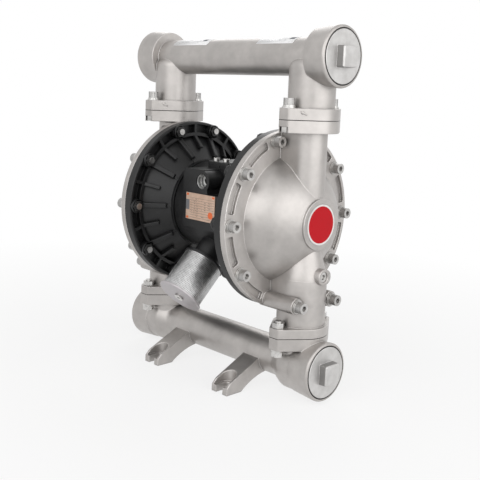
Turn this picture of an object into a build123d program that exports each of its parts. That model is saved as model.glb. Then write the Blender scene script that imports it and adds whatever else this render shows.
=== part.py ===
from build123d import *
import os
from math import cos, radians, sin, sqrt

# Air operated double diaphragm pump: cast stainless liquid end, black cast air end.
# Millimetres. The pump stands on its feet on Z = 0. The diaphragm shaft and both manifolds
# run along X, the air inlet and the muffler face -Y. "Right" is +X, "left" is -X.

os.makedirs("parts", exist_ok=True)

# ---------------------------------------------------------------- layout
chamber_z = 211.0           # height of the diaphragm shaft
discharge_z = 403.5         # height of the discharge manifold's tube
suction_z = 38.2            # height of the suction manifold's tube
leg_x = 122.4               # manifold legs and chamber necks, from the middle
discharge_seam_z = 331.2    # joint face between chamber and discharge manifold
suction_seam_z = 77.6       # joint face between chamber and suction manifold

# ---------------------------------------------------------------- clearances
joint_gap = 0.1             # between pieces that are bolted or seated together
moving_gap = 0.3            # between pieces that move past each other
running_gap = 0.05          # radial, shaft in its bushes

# ---------------------------------------------------------------- manifolds
discharge_tube_r = 22.4
suction_tube_r = 23.2
tube_wall = 4.5
leg_r = 27.6
leg_wall = 4.6
hub_face_x = 165.4          # outer face of each screwed port
hub_r = 35.5
hub_root_r = 33.0
hub_length = 31.5
hub_edge = 2.5              # rounding of the hub's outer edge
hub_root_edge = 0.8
leg_head = 2.0              # top of the discharge legs, below the tube's axis
leg_round = 11.0            # rounding of that top
bulge_r = 32.0              # suction elbows
bulge_run = 18.0            # plain length of a bulge, next to the hub
bulge_slope = 16.0          # length over which it falls to the tube
bulge_round = 12.0
port_r = 28.33              # thread bore, two inch pipe thread
port_depth = 24.0
port_chamfer = 1.6

# ---------------------------------------------------------------- two-bolt flanges
flange_bolt_y = 38.5        # bolt centre, each side of the neck
flange_end_y = 46.5         # flat end of the lobe
flange_end_w = 14.0
flange_round_r = 33.0
manifold_flange_t = 13.4
suction_flange_t = 14.5
chamber_top_flange_t = 14.6
chamber_low_flange_t = 11.3
bolt_d = 8.0
bolt_hole_d = 9.0

# ---------------------------------------------------------------- feet
foot_x = 65.5               # centre of each foot bar
foot_w = 26.4
foot_tip_y = 75.9
foot_tip_t = 8.5            # thickness under the bolt seat
foot_flat = 24.0            # flat sole, back from the tip
foot_top_y = 20.0           # where the bar's back leaves the tube
foot_slot_w = 11.0
foot_slot_y = 62.0          # centre of the slot's round end
foot_seat_r = 10.6          # spot face round the slot

# ---------------------------------------------------------------- ball valves
ball_r = 17.5
ball_lift = 8.0
seat_r = 21.6
seat_h = 8.0
seat_bore_r = 11.5
seat_mouth_r = 14.5
seat_ring_d = 2.6
cage_guides = 4
cage_guide_w = 4.0
cage_stop_r = 7.0

# ---------------------------------------------------------------- outer chambers
disc_r = 107.0
joint_x = 89.1              # joint face between outer chamber and air chamber
flange_t = 7.7
bolt_circle_r = 98.7
chamber_bolts = 10
lip_w = 3.4                 # plain rim outside the pockets
pocket_w = 9.6
pocket_depth = 4.0
pocket_half_angle = 10.5
dome_r = 83.3               # ball radius of the dome
dome_centre_x = 65.3
casting_wall = 5.0
badge_face_x = 146.3
badge_boss_r = 30.2
badge_r = 24.0
badge_t = 1.2
badge_recess = 0.8
neck_r = 21.0               # discharge neck
neck_bore_r = 16.0
neck_start = 28.0           # necks start this far from the shaft
cage_r = 29.0               # suction neck, round the ball
cage_wall = 6.0
cage_top = 66.0             # top of the cage below the shaft
cage_cone = 13.0            # height of the shoulder above the cage
long_boss_x = 142.1         # face of the two long bolt bosses
long_boss_r = 9.6
drain_r = 9.6
drain_angle = 149.5         # from the top, towards +Y
drain_radius = 85.0
drain_face_x = 123.0

# ---------------------------------------------------------------- air chambers
rim_x = 77.9                # inner face of the air chamber's rim
rim_w = 3.5
ring_r = 88.0               # inner radius of the ring rib
ring_w = 4.4
plate_x = 85.4              # bottom of the channel between rim and ring rib
hub_x = 52.0                # face on the centre body
air_hub_r = 58.0
air_wall = 4.5
cavity_x = 66.0             # floor of the air space
cavity_r = 63.0
rib_w = 3.6
eye_r = 8.8                 # bosses round the chamber bolts

# ---------------------------------------------------------------- diaphragms and shaft
stroke = 10.0               # each way from the middle
diaphragm_t = 3.4
diaphragm_r = 92.0
diaphragm_clamp_r = 75.5
roll_in_r = 53.0            # the rolling convolution, inner and outer edge
roll_out_r = 72.0
roll_rise = 5.0
plate_r = 50.0
inner_plate_t = 7.0
outer_plate_t = 7.0
shaft_r = 11.0
bush_wall = 3.0
bush_length = 20.0
seal_d = 3.0
plate_bolt_r = 8.0
plate_bolt_depth = 30.0
plate_head_af = 27.0
plate_head_h = 9.0

# ---------------------------------------------------------------- centre body and air valve
body_r = 56.0
front_y = 57.0              # flat front, with inlet and name plate
front_half_w = 34.0
front_low = 22.0            # front flat, below and above the shaft
front_high = 52.0
inlet_z = 37.6              # inlet and air valve, above the shaft
inlet_r = 9.3               # thread bore, half inch pipe thread
inlet_depth = 20.0
inlet_passage_r = 5.5
inlet_boss_r = 14.0
recess_y = 30.0             # pocket right of the inlet boss
valve_bore_r = 12.0
sleeve_wall = 3.0
spool_travel = 6.0
spool_land_w = 12.0
spool_neck_r = 7.0
end_cap_t = 4.0
cover_z = 56.0              # seat of the valve cover, above the shaft
cover_x = 19.0              # half sizes of the valve cover
cover_y = 31.0
cover_t = 5.0
pilot_y = 25.0
pilot_r = 4.0
pilot_travel = 3.0
gasket_t = 0.8
plate_w = 53.0              # name plate
plate_h = 33.4
plate_t = 0.8
plate_z = 5.0

# ---------------------------------------------------------------- muffler
muffler_tilt = 45.0         # down and to the front
muffler_y = 49.9            # centre of the mounting ring, in front of the shaft
muffler_z = 66.6            # and below it
muffler_length = 53.0       # from the ring to the end cap
muffler_ring_r = 27.7
muffler_shell_r = 26.6
muffler_cap_r = 28.9
muffler_sheet = 1.2
muffler_cap_t = 3.0
muffler_ring_t = 4.0
core_r = 21.0
core_bore_r = 10.0
exhaust_boss_r = 19.0
nipple_r = 12.0
tie_rod_r = 3.0

# ---------------------------------------------------------------- fasteners
head_r = 6.5                # M8 socket head
head_h = 8.0
socket_af = 6.0
socket_depth = 4.0
washer_r = 8.0
washer_t = 1.6
spring_washer_r = 7.0
spring_washer_t = 1.7
nut_af = 13.0
nut_h = 6.5
nut_pocket = 7.0
hex_head_h = 5.3
thread_past_nut = 2.0
plug_disc_r = 28.2
plug_sink = 1.5             # plug face inside the hub face
plug_length = 21.0
plug_head_w = 24.5
plug_head_h = 12.0

SIDES = (-1, 1)
shaft_axis = Axis((0, 0, chamber_z), (1, 0, 0))


def across(x):
    """Plane square to the shaft at x: its x runs along +Y, its y along +Z."""
    return Plane(origin=(x, 0, chamber_z), x_dir=(0, 1, 0), z_dir=(1, 0, 0))


def radial(angle, z=chamber_z):
    """Plane through an axis along X: its x runs along +X, its y away from the axis,
    turned by angle from the top towards +Y."""
    turn = radians(angle)
    return Plane(origin=(0, 0, z), x_dir=(1, 0, 0), z_dir=(0, -cos(turn), sin(turn)))


def level(z, x=0.0, y=0.0):
    """Plane flat to the floor."""
    return Plane(origin=(x, y, z), x_dir=(1, 0, 0), z_dir=(0, 0, 1))


def around(angle, radius):
    """Point on a circle round the shaft, in an across() plane, from the top towards +Y."""
    turn = radians(angle)
    return (radius * sin(turn), radius * cos(turn))


def turned(points, z=chamber_z, mode=Mode.ADD):
    """Body turned about an axis along X at height z, from (x, radius) points."""
    with BuildSketch(radial(0, z)) as section:
        with BuildLine():
            Polyline(*points, close=True)
        make_face()
    revolve(section.sketch, axis=Axis((0, 0, z), (1, 0, 0)), mode=mode)


def turned_up(points, x, mode=Mode.ADD):
    """Body turned about an upright axis at x, from (radius, height) points."""
    with BuildSketch(Plane(origin=(x, 0, 0), x_dir=(1, 0, 0), z_dir=(0, -1, 0))) as section:
        with BuildLine():
            Polyline(*points, close=True)
        make_face()
    revolve(section.sketch, axis=Axis((x, 0, 0), (0, 0, 1)), mode=mode)


def rod(plane, radius, length, mode=Mode.ADD):
    """Round bar or bore that stands on a plane."""
    with BuildSketch(plane) as section:
        Circle(radius)
    extrude(section.sketch, amount=length, mode=mode)


def other_side(piece):
    """The same piece on the other side of the pump."""
    with BuildPart() as twin:
        mirror(piece.part, about=Plane.YZ)
    return twin


def bolt_angles():
    """Chamber bolts, from the top, none of them on the necks' centre line."""
    step = 360 / chamber_bolts
    return [step * (n + 0.5) for n in range(chamber_bolts)]


def long_bolt_angles():
    """The two bolts beside the suction neck."""
    return [a for a in bolt_angles() if abs(a - 180) < 360 / chamber_bolts]


def short_bolt_angles():
    return [a for a in bolt_angles() if a not in long_bolt_angles()]


def write(name, piece):
    piece.part.label = name
    export_step(piece.part, f"parts/{name}.step")


# ================================================================ shared forms
def flange(x, z, thickness):
    """Two-bolt flange lying on z: round in the middle, a flat-ended lobe for each bolt."""
    with BuildSketch(level(z, x)) as outline:
        Circle(flange_round_r)
        Rectangle(flange_end_w, 2 * flange_end_y)
        make_hull()
        fillet(outline.vertices().group_by(Axis.Y)[0], 3)
        fillet(outline.vertices().group_by(Axis.Y)[-1], 3)
    extrude(outline.sketch, amount=thickness)


def flange_bores(x, z, thickness):
    """Bolt holes of a flange lying on z."""
    for y in (-flange_bolt_y, flange_bolt_y):
        rod(level(z, x, y), bolt_hole_d / 2, thickness, mode=Mode.SUBTRACT)


def cage(x, base_z, bore_r, ball_z):
    """Guides that keep a valve ball in the middle, closed above it by a stop."""
    stop_z = ball_z + ball_r + ball_lift + moving_gap
    guide_r = ball_r + moving_gap
    for number in range(cage_guides):
        turn = radians(45 + 360 / cage_guides * number)
        upright = Plane(origin=(x, 0, 0), x_dir=(cos(turn), sin(turn), 0), z_dir=(sin(turn), -cos(turn), 0))
        with BuildSketch(upright) as guide:
            with BuildLine():
                Polyline(
                    (guide_r, base_z),
                    (guide_r, stop_z),
                    (cage_stop_r, stop_z),
                    (cage_stop_r, stop_z + cage_guide_w),
                    (bore_r + 1, stop_z + cage_guide_w),
                    (bore_r + 1, base_z),
                    close=True,
                )
            make_face()
        extrude(guide.sketch, amount=cage_guide_w / 2, both=True)


def ball_height(seam_z):
    """Centre of a valve ball that rests on the cone of a seat flush with a joint face."""
    cone_depth = seat_mouth_r - seat_bore_r
    contact_r = ball_r * sin(radians(45))
    contact_z = seam_z - cone_depth + (contact_r - seat_bore_r)
    return contact_z + contact_r + moving_gap


# ================================================================ manifolds
def manifold_run(z, elbow):
    """Tube with a screwed hub at each end, turned. The elbow is its outline up to the hub:
    (x, radius, rounding) for each corner."""
    hub = [(hub_root_x, hub_root_r, hub_root_edge), (hub_face_x, hub_r, hub_edge)]
    half = elbow + hub
    corners = [(-x, r, rounding) for x, r, rounding in reversed(half)] + half
    with BuildSketch(radial(0, z)) as section:
        with BuildLine():
            FilletPolyline(
                (-hub_face_x, 0),
                *[(x, r) for x, r, rounding in corners],
                (hub_face_x, 0),
                radius=[rounding for x, r, rounding in corners],
            )
            Line((hub_face_x, 0), (-hub_face_x, 0))
        make_face()
    revolve(section.sketch, axis=Axis((0, 0, z), (1, 0, 0)))


def manifold_bores(z, tube_r, elbow_bore_r):
    """Through bore, wider in the elbows, and a thread bore in each hub."""
    floor_x = hub_face_x - port_depth
    half = [
        (leg_x - leg_r, tube_r - tube_wall),
        (leg_x, elbow_bore_r),
        (floor_x, elbow_bore_r),
        (floor_x, port_r),
        (hub_face_x - port_chamfer, port_r),
        (hub_face_x, port_r + port_chamfer),
    ]
    mirrored_half = [(-x, r) for x, r in reversed(half)]
    turned(mirrored_half + half + [(hub_face_x, 0), (-hub_face_x, 0)], z, Mode.SUBTRACT)


def discharge_leg(x, radius, top, rounding, mode=Mode.ADD):
    """Upright leg with a rounded top, or the space inside it."""
    with BuildSketch(Plane(origin=(x, 0, 0), x_dir=(1, 0, 0), z_dir=(0, -1, 0))) as section:
        with BuildLine():
            FilletPolyline(
                (0, discharge_seam_z),
                (radius, discharge_seam_z),
                (radius, top),
                (0, top),
                radius=[0, rounding],
            )
            Line((0, top), (0, discharge_seam_z))
        make_face()
    revolve(section.sketch, axis=Axis((x, 0, 0), (0, 0, 1)), mode=mode)


discharge_ball_z = ball_height(discharge_seam_z)
suction_ball_z = ball_height(suction_seam_z)

hub_root_x = hub_face_x - hub_length
leg_top_z = discharge_z - leg_head
with BuildPart() as discharge_manifold:
    manifold_run(discharge_z, [(hub_root_x, discharge_tube_r, 0)])
    for x in (-leg_x, leg_x):
        discharge_leg(x, leg_r, leg_top_z, leg_round)
        flange(x, discharge_seam_z, manifold_flange_t)
    manifold_bores(discharge_z, discharge_tube_r, discharge_tube_r - tube_wall)
    for x in (-leg_x, leg_x):
        discharge_leg(x, leg_r - leg_wall, leg_top_z - leg_wall, leg_round - leg_wall, Mode.SUBTRACT)
        flange_bores(x, discharge_seam_z, manifold_flange_t)
        cage(x, discharge_seam_z + cage_guide_w, leg_r - leg_wall, discharge_ball_z)
write("discharge_manifold", discharge_manifold)


def foot_bar(x):
    """Bar across the suction tube: sloping back, arched sole and an open slot at each tip."""
    sole_y = foot_tip_y - foot_flat
    tube_low = suction_z - suction_tube_r
    with BuildSketch(Plane(origin=(x, 0, 0), x_dir=(0, 1, 0), z_dir=(1, 0, 0))) as profile:
        with BuildLine():
            Polyline(
                (-sole_y, 0),
                (-foot_tip_y, 0),
                (-foot_tip_y, foot_tip_t),
                (-foot_tip_y + 6, foot_tip_t + 6),
                (-foot_top_y, suction_z),
                (foot_top_y, suction_z),
                (foot_tip_y - 6, foot_tip_t + 6),
                (foot_tip_y, foot_tip_t),
                (foot_tip_y, 0),
                (sole_y, 0),
            )
            ThreePointArc((sole_y, 0), (0, tube_low + 3), (-sole_y, 0))
        make_face()
    extrude(profile.sketch, amount=foot_w / 2, both=True)


def foot_slots(x):
    """Open slot through each tip, with a round spot face for the bolt's washer."""
    for side in SIDES:
        with BuildSketch(level(0, x)) as slot:
            with Locations((0, side * foot_slot_y)):
                Circle(foot_slot_w / 2)
            with Locations((0, side * (foot_slot_y + foot_tip_y) / 2 + side)):
                Rectangle(foot_slot_w, foot_tip_y - foot_slot_y + 2)
        extrude(slot.sketch, amount=suction_z, mode=Mode.SUBTRACT)
        with BuildSketch(level(foot_tip_t, x)) as seat:
            with Locations((0, side * foot_slot_y)):
                Circle(foot_seat_r)
            with Locations((0, side * (foot_slot_y + foot_tip_y) / 2 + side)):
                Rectangle(2 * foot_seat_r, foot_tip_y - foot_slot_y + 2)
        extrude(seat.sketch, amount=suction_z, mode=Mode.SUBTRACT)


with BuildPart() as suction_manifold:
    for x in (-foot_x, foot_x):
        foot_bar(x)
        foot_slots(x)
    bulge_x = hub_root_x - bulge_run
    manifold_run(
        suction_z,
        [
            (bulge_x - bulge_slope, suction_tube_r, bulge_round),
            (bulge_x, bulge_r, bulge_round),
            (hub_root_x, bulge_r, 0),
        ],
    )
    for x in (-leg_x, leg_x):
        rod(level(suction_z, x), leg_r, suction_seam_z - suction_z)
        flange(x, suction_seam_z - suction_flange_t, suction_flange_t)
    manifold_bores(suction_z, suction_tube_r, leg_r - leg_wall)
    for x in (-leg_x, leg_x):
        rod(level(suction_z, x), neck_bore_r, suction_seam_z - suction_z, Mode.SUBTRACT)
        rod(level(suction_seam_z - seat_h - joint_gap, x), seat_r + joint_gap, seat_h + 1, Mode.SUBTRACT)
        flange_bores(x, suction_seam_z - suction_flange_t, suction_flange_t)
write("suction_manifold", suction_manifold)


# ================================================================ outer chambers
def chamber_shell():
    """Bolting flange, dome and badge boss."""
    face_x = joint_x + flange_t
    turned([(joint_x, 0), (joint_x, disc_r), (face_x, disc_r), (face_x, 0)])
    with BuildSketch(radial(0)) as cap:
        with BuildLine():
            edge_r = sqrt(dome_r**2 - (joint_x - dome_centre_x) ** 2)
            top_x = dome_centre_x + dome_r
            middle = (dome_centre_x + dome_r * cos(radians(35)), dome_r * sin(radians(35)))
            ThreePointArc((joint_x, edge_r), middle, (top_x, 0))
            Polyline((top_x, 0), (joint_x, 0), (joint_x, edge_r))
        make_face()
    revolve(cap.sketch, axis=shaft_axis)
    rod(across(joint_x), badge_boss_r, badge_face_x - joint_x)
    rod(across(badge_face_x), badge_boss_r, dome_r, Mode.SUBTRACT)


def neck_section(z, half_width):
    """U-shaped section of a neck: flat sides from the flange, round front."""
    with BuildSketch(level(z, leg_x)) as section:
        Circle(half_width)
        with Locations(((joint_x - leg_x) / 2 + 1, 0)):
            Rectangle(leg_x - joint_x - 2, 2 * half_width)
    return section.sketch


with BuildPart() as right_outer_chamber:
    chamber_shell()
    top_flange_z = discharge_seam_z - chamber_top_flange_t
    low_flange_z = suction_seam_z + chamber_low_flange_t
    cage_top_z = chamber_z - cage_top
    extrude(neck_section(chamber_z + neck_start, neck_r), amount=disc_r - neck_start - 3)
    rod(level(chamber_z, leg_x), neck_r, top_flange_z - chamber_z)
    flange(leg_x, top_flange_z, chamber_top_flange_t)
    loft([neck_section(cage_top_z, neck_r + 4), neck_section(chamber_z - neck_start, neck_r - 2)])
    turned_up(
        [
            (0, low_flange_z),
            (cage_r, low_flange_z),
            (cage_r, cage_top_z),
            (neck_r, cage_top_z + cage_cone),
            (0, cage_top_z + cage_cone),
        ],
        leg_x,
    )
    extrude(neck_section(chamber_z - disc_r + 5, cage_r - 1), amount=disc_r - 5 - cage_top)
    flange(leg_x, suction_seam_z, chamber_low_flange_t)
    with BuildSketch(across(joint_x)) as long_bosses:
        for angle in long_bolt_angles():
            with Locations(around(angle, bolt_circle_r)):
                Circle(long_boss_r)
    extrude(long_bosses.sketch, amount=long_boss_x - joint_x)
    with BuildSketch(across(joint_x)) as drain_boss:
        with Locations(around(drain_angle, drain_radius)):
            Circle(drain_r)
    extrude(drain_boss.sketch, amount=drain_face_x - joint_x)

    # liquid space behind the dome, open to the diaphragm
    with BuildSketch(radial(0)) as hollow:
        with BuildLine():
            inner_r = dome_r - casting_wall
            mouth_r = sqrt(inner_r**2 - (joint_x - dome_centre_x) ** 2)
            crown_x = dome_centre_x + inner_r
            middle = (dome_centre_x + inner_r * cos(radians(35)), inner_r * sin(radians(35)))
            ThreePointArc((joint_x, mouth_r), middle, (crown_x, 0))
            Polyline((crown_x, 0), (joint_x, 0), (joint_x, mouth_r))
        make_face()
    revolve(hollow.sketch, axis=shaft_axis, mode=Mode.SUBTRACT)
    rod(across(joint_x), diaphragm_r + joint_gap, diaphragm_t / 2, Mode.SUBTRACT)

    # discharge passage, and the seat's recess in the top flange
    rod(level(chamber_z + neck_start, leg_x), neck_bore_r, discharge_seam_z - chamber_z, Mode.SUBTRACT)
    rod(
        level(discharge_seam_z - seat_h - joint_gap, leg_x),
        seat_r + joint_gap,
        seat_h + 1,
        Mode.SUBTRACT,
    )
    # suction passage with the ball's cage
    cage_bore_r = cage_r - cage_wall
    stop_z = suction_ball_z + ball_r + ball_lift + 2 * cage_guide_w
    rod(level(suction_seam_z, leg_x), cage_bore_r, stop_z - suction_seam_z, Mode.SUBTRACT)
    rod(level(suction_seam_z, leg_x), neck_bore_r, chamber_z - neck_start - suction_seam_z, Mode.SUBTRACT)
    cage(leg_x, suction_seam_z + cage_guide_w, cage_bore_r, suction_ball_z)

    flange_bores(leg_x, top_flange_z, chamber_top_flange_t)
    flange_bores(leg_x, suction_seam_z, chamber_low_flange_t)
    for y in (-flange_bolt_y, flange_bolt_y):
        with BuildSketch(level(top_flange_z, leg_x, y)) as nut_seat:
            RegularPolygon(nut_af / 2 + joint_gap, 6, major_radius=False)
            with Locations((0, (flange_end_y - flange_bolt_y) * (1 if y > 0 else -1))):
                Rectangle(nut_af + 2 * joint_gap, 2 * (flange_end_y - flange_bolt_y))
        extrude(nut_seat.sketch, amount=nut_pocket, mode=Mode.SUBTRACT)

    # chamber bolt holes, pockets between them, drain thread and badge seat
    with BuildSketch(across(joint_x)) as bolt_holes:
        for angle in bolt_angles():
            with Locations(around(angle, bolt_circle_r)):
                Circle(bolt_hole_d / 2)
    extrude(bolt_holes.sketch, amount=long_boss_x - joint_x, mode=Mode.SUBTRACT)
    pocket_out_r = disc_r - lip_w
    with BuildSketch(across(joint_x + flange_t)) as pockets:
        for number in range(1, chamber_bolts):
            if number != chamber_bolts / 2:
                middle_angle = 90 - 360 / chamber_bolts * number
                with BuildLine():
                    start, end = middle_angle - pocket_half_angle, middle_angle + pocket_half_angle
                    CenterArc((0, 0), pocket_out_r, start, end - start)
                    CenterArc((0, 0), pocket_out_r - pocket_w, start, end - start)
                    for side_angle in (start, end):
                        turn = radians(side_angle)
                        inner = pocket_out_r - pocket_w
                        Line(
                            (pocket_out_r * cos(turn), pocket_out_r * sin(turn)),
                            (inner * cos(turn), inner * sin(turn)),
                        )
                make_face()
        fillet(pockets.vertices(), 2)
    extrude(pockets.sketch, amount=-pocket_depth, mode=Mode.SUBTRACT)
    drain_at = around(drain_angle, drain_radius)
    with BuildSketch(across(drain_face_x)) as drain_thread:
        with Locations(drain_at):
            Circle(drain_r - 3)
    extrude(drain_thread.sketch, amount=-12, mode=Mode.SUBTRACT)
    rod(across(badge_face_x - badge_recess), badge_r + joint_gap, badge_recess, Mode.SUBTRACT)
write("right_outer_chamber", right_outer_chamber)
left_outer_chamber = other_side(right_outer_chamber)
write("left_outer_chamber", left_outer_chamber)

# ================================================================ air chambers
with BuildPart() as right_air_chamber:
    turned(
        [
            (hub_x, 0),
            (hub_x, air_hub_r),
            (hub_x + air_wall, air_hub_r),
            (plate_x - 1, ring_r),
            (rim_x, ring_r),
            (rim_x, ring_r + ring_w),
            (plate_x, ring_r + ring_w),
            (plate_x, disc_r - rim_w),
            (rim_x, disc_r - rim_w),
            (rim_x, disc_r - 1.2),
            (rim_x + 1.2, disc_r),
            (joint_x, disc_r),
            (joint_x, diaphragm_r + joint_gap),
            (joint_x - diaphragm_t / 2, diaphragm_r + joint_gap),
            (joint_x - diaphragm_t / 2, diaphragm_clamp_r),
            (joint_x - diaphragm_t / 2 - 3, diaphragm_clamp_r - 2),
            (cavity_x, cavity_r - air_wall),
            (cavity_x, 0),
        ]
    )
    with BuildSketch(across(rim_x)) as eyes:
        for angle in bolt_angles():
            with Locations(around(angle, bolt_circle_r)):
                Circle(eye_r)
        Circle(disc_r, mode=Mode.INTERSECT)
    extrude(eyes.sketch, amount=joint_x - rim_x)
    rod(across(joint_x - diaphragm_t / 2), diaphragm_r + joint_gap, diaphragm_t, Mode.SUBTRACT)
    for angle in bolt_angles():
        with BuildSketch(radial(angle)) as long_rib:
            with BuildLine():
                Polyline(
                    (rim_x, ring_r + 1),
                    (hub_x + 2, air_hub_r - 2),
                    (hub_x + air_wall + 3, air_hub_r - 3),
                    (plate_x, ring_r + 1),
                    close=True,
                )
            make_face()
        extrude(long_rib.sketch, amount=rib_w / 2, both=True)
    for number in range(chamber_bolts):
        short_r = (ring_r + air_hub_r) / 2
        short_x = (rim_x + hub_x) / 2 + 4
        with BuildSketch(radial(360 / chamber_bolts * number)) as short_rib:
            with BuildLine():
                Polyline(
                    (rim_x, ring_r + 1),
                    (short_x, short_r),
                    (short_x + 9, short_r),
                    (plate_x, ring_r + 1),
                    close=True,
                )
            make_face()
            with BuildLine():
                Polyline(
                    (rim_x, ring_r + ring_w - 1),
                    (rim_x, disc_r - rim_w + 1),
                    (plate_x + 1, disc_r - rim_w + 1),
                    (plate_x + 1, ring_r + ring_w - 1),
                    close=True,
                )
            make_face()
        extrude(short_rib.sketch, amount=rib_w / 2, both=True)
    with BuildSketch(across(rim_x)) as eye_holes:
        for angle in bolt_angles():
            with Locations(around(angle, bolt_circle_r)):
                Circle(bolt_hole_d / 2)
    extrude(eye_holes.sketch, amount=joint_x - rim_x, mode=Mode.SUBTRACT)
    rod(across(hub_x), shaft_r + bush_wall, cavity_x - hub_x, Mode.SUBTRACT)
    with BuildSketch(across(hub_x)) as pilot_hole:
        with Locations((pilot_y, 0)):
            Circle(pilot_r + moving_gap)
    extrude(pilot_hole.sketch, amount=cavity_x - hub_x, mode=Mode.SUBTRACT)
write("right_air_chamber", right_air_chamber)
left_air_chamber = other_side(right_air_chamber)
write("left_air_chamber", left_air_chamber)

# ================================================================ centre body
body_half = hub_x - gasket_t
muffler_turn = radians(muffler_tilt)
muffler_way = (0, -sin(muffler_turn), -cos(muffler_turn))


def along_muffler(distance):
    """Plane square to the muffler, this far outside the centre of its mounting ring."""
    origin = (
        0,
        -muffler_y + distance * muffler_way[1],
        chamber_z - muffler_z + distance * muffler_way[2],
    )
    return Plane(origin=origin, x_dir=(1, 0, 0), z_dir=muffler_way)


with BuildPart() as centre_body:
    rod(across(-body_half), body_r, 2 * body_half)
    with BuildSketch(Plane(origin=(0, -front_y, chamber_z), x_dir=(1, 0, 0), z_dir=(0, 1, 0))) as front:
        with BuildLine():
            Polyline(
                (-front_half_w, front_low),
                (front_half_w, front_low),
                (front_half_w, -front_high),
                (-front_half_w, -front_high),
                close=True,
            )
        make_face()
        fillet(front.vertices(), 6)
    extrude(front.sketch, amount=front_y)
    with BuildSketch(level(chamber_z, 0)) as top_pad:
        RectangleRounded(2 * cover_x, 2 * cover_y, 4)
    extrude(top_pad.sketch, amount=cover_z)
    # pocket beside the inlet boss
    with BuildSketch(Plane(origin=(0, -front_y, chamber_z), x_dir=(1, 0, 0), z_dir=(0, 1, 0))) as recess:
        with BuildLine():
            Polyline(
                (0, -cover_z - 10),
                (body_half, -cover_z - 10),
                (body_half, -front_low),
                (inlet_boss_r - 2, -front_low),
                close=True,
            )
        make_face()
    extrude(recess.sketch, amount=front_y - recess_y, mode=Mode.SUBTRACT)
    inlet_plane = Plane(origin=(0, -front_y, chamber_z + inlet_z), x_dir=(1, 0, 0), z_dir=(0, 1, 0))
    rod(inlet_plane, inlet_boss_r, front_y)
    rod(along_muffler(-4), exhaust_boss_r, -40)
    # bores: inlet, air valve, shaft bushes, pilot rod, exhaust
    rod(inlet_plane, inlet_r, inlet_depth, Mode.SUBTRACT)
    rod(inlet_plane, inlet_passage_r, front_y - valve_bore_r, Mode.SUBTRACT)
    valve_plane = Plane(origin=(-body_half, 0, chamber_z + inlet_z), x_dir=(0, 1, 0), z_dir=(1, 0, 0))
    rod(valve_plane, valve_bore_r + sleeve_wall, 2 * body_half, Mode.SUBTRACT)
    rod(across(-body_half), shaft_r + bush_wall, 2 * body_half, Mode.SUBTRACT)
    with BuildSketch(across(-body_half)) as pilot_bore:
        with Locations((pilot_y, 0)):
            Circle(pilot_r + running_gap)
    extrude(pilot_bore.sketch, amount=2 * body_half, mode=Mode.SUBTRACT)
    rod(along_muffler(-4), nipple_r + joint_gap, -18, Mode.SUBTRACT)
write("centre_body", centre_body)

with BuildPart() as centre_gaskets:
    for side in SIDES:
        with BuildSketch(across(side * (hub_x - gasket_t / 2))) as gasket:
            Circle(body_r - 1)
            Circle(shaft_r + bush_wall + 1, mode=Mode.SUBTRACT)
            with Locations((pilot_y, 0)):
                Circle(pilot_r + 1, mode=Mode.SUBTRACT)
            with Locations((0, inlet_z)):
                Circle(valve_bore_r - 2, mode=Mode.SUBTRACT)
        extrude(gasket.sketch, amount=gasket_t / 2, both=True)
write("centre_gaskets", centre_gaskets)

with BuildPart() as valve_cover:
    with BuildSketch(level(chamber_z + cover_z)) as cover:
        RectangleRounded(2 * cover_x, 2 * cover_y, 4)
    extrude(cover.sketch, amount=cover_t)
    fillet(valve_cover.edges().group_by(Axis.Z)[-1], 1)
write("valve_cover", valve_cover)

with BuildPart() as name_plate:
    with BuildSketch(
        Plane(origin=(0, -front_y, chamber_z + plate_z), x_dir=(1, 0, 0), z_dir=(0, -1, 0))
    ) as plate:
        Rectangle(plate_w, plate_h)
        chamfer(plate.vertices().sort_by(Axis.X)[-2:].sort_by(Axis.Y)[0], 6)
    extrude(plate.sketch, amount=plate_t)
write("name_plate", name_plate)

# ================================================================ air valve and pilot rod
with BuildPart() as valve_sleeve:
    with BuildSketch(valve_plane) as sleeve:
        Circle(valve_bore_r + sleeve_wall)
        Circle(valve_bore_r, mode=Mode.SUBTRACT)
    extrude(sleeve.sketch, amount=2 * body_half)
    for n in range(-2, 3):
        port_plane = Plane(origin=(n * 15, 0, chamber_z + inlet_z), x_dir=(1, 0, 0), z_dir=(0, 0, 1))
        rod(port_plane, 3, valve_bore_r + sleeve_wall, Mode.SUBTRACT)
write("valve_sleeve", valve_sleeve)

spool_half = body_half - end_cap_t - spool_travel - moving_gap
with BuildPart() as valve_spool:
    rod(valve_plane.offset(body_half - spool_half), spool_neck_r, 2 * spool_half)
    pitch = spool_half - spool_land_w / 2
    for n in (-1, 0, 1):
        land = valve_plane.offset(body_half + n * pitch - spool_land_w / 2)
        rod(land, valve_bore_r - running_gap, spool_land_w)
    for n in (-1, 0, 1):
        groove = valve_plane.offset(body_half + n * pitch - seal_d / 2)
        with BuildSketch(groove) as ring_groove:
            Circle(valve_bore_r + 1)
            Circle(valve_bore_r - seal_d, mode=Mode.SUBTRACT)
        extrude(ring_groove.sketch, amount=seal_d, mode=Mode.SUBTRACT)
write("valve_spool", valve_spool)

with BuildPart() as spool_seals:
    for n in (-1, 0, 1):
        with BuildSketch(valve_plane.offset(body_half + n * pitch - seal_d / 2 + joint_gap)) as seal:
            Circle(valve_bore_r - running_gap)
            Circle(valve_bore_r - seal_d + joint_gap, mode=Mode.SUBTRACT)
        extrude(seal.sketch, amount=seal_d - 2 * joint_gap)
write("spool_seals", spool_seals)

with BuildPart() as valve_end_caps:
    for start in (joint_gap, 2 * body_half - end_cap_t - joint_gap):
        rod(valve_plane.offset(start), valve_bore_r - joint_gap, end_cap_t)
write("valve_end_caps", valve_end_caps)

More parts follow.
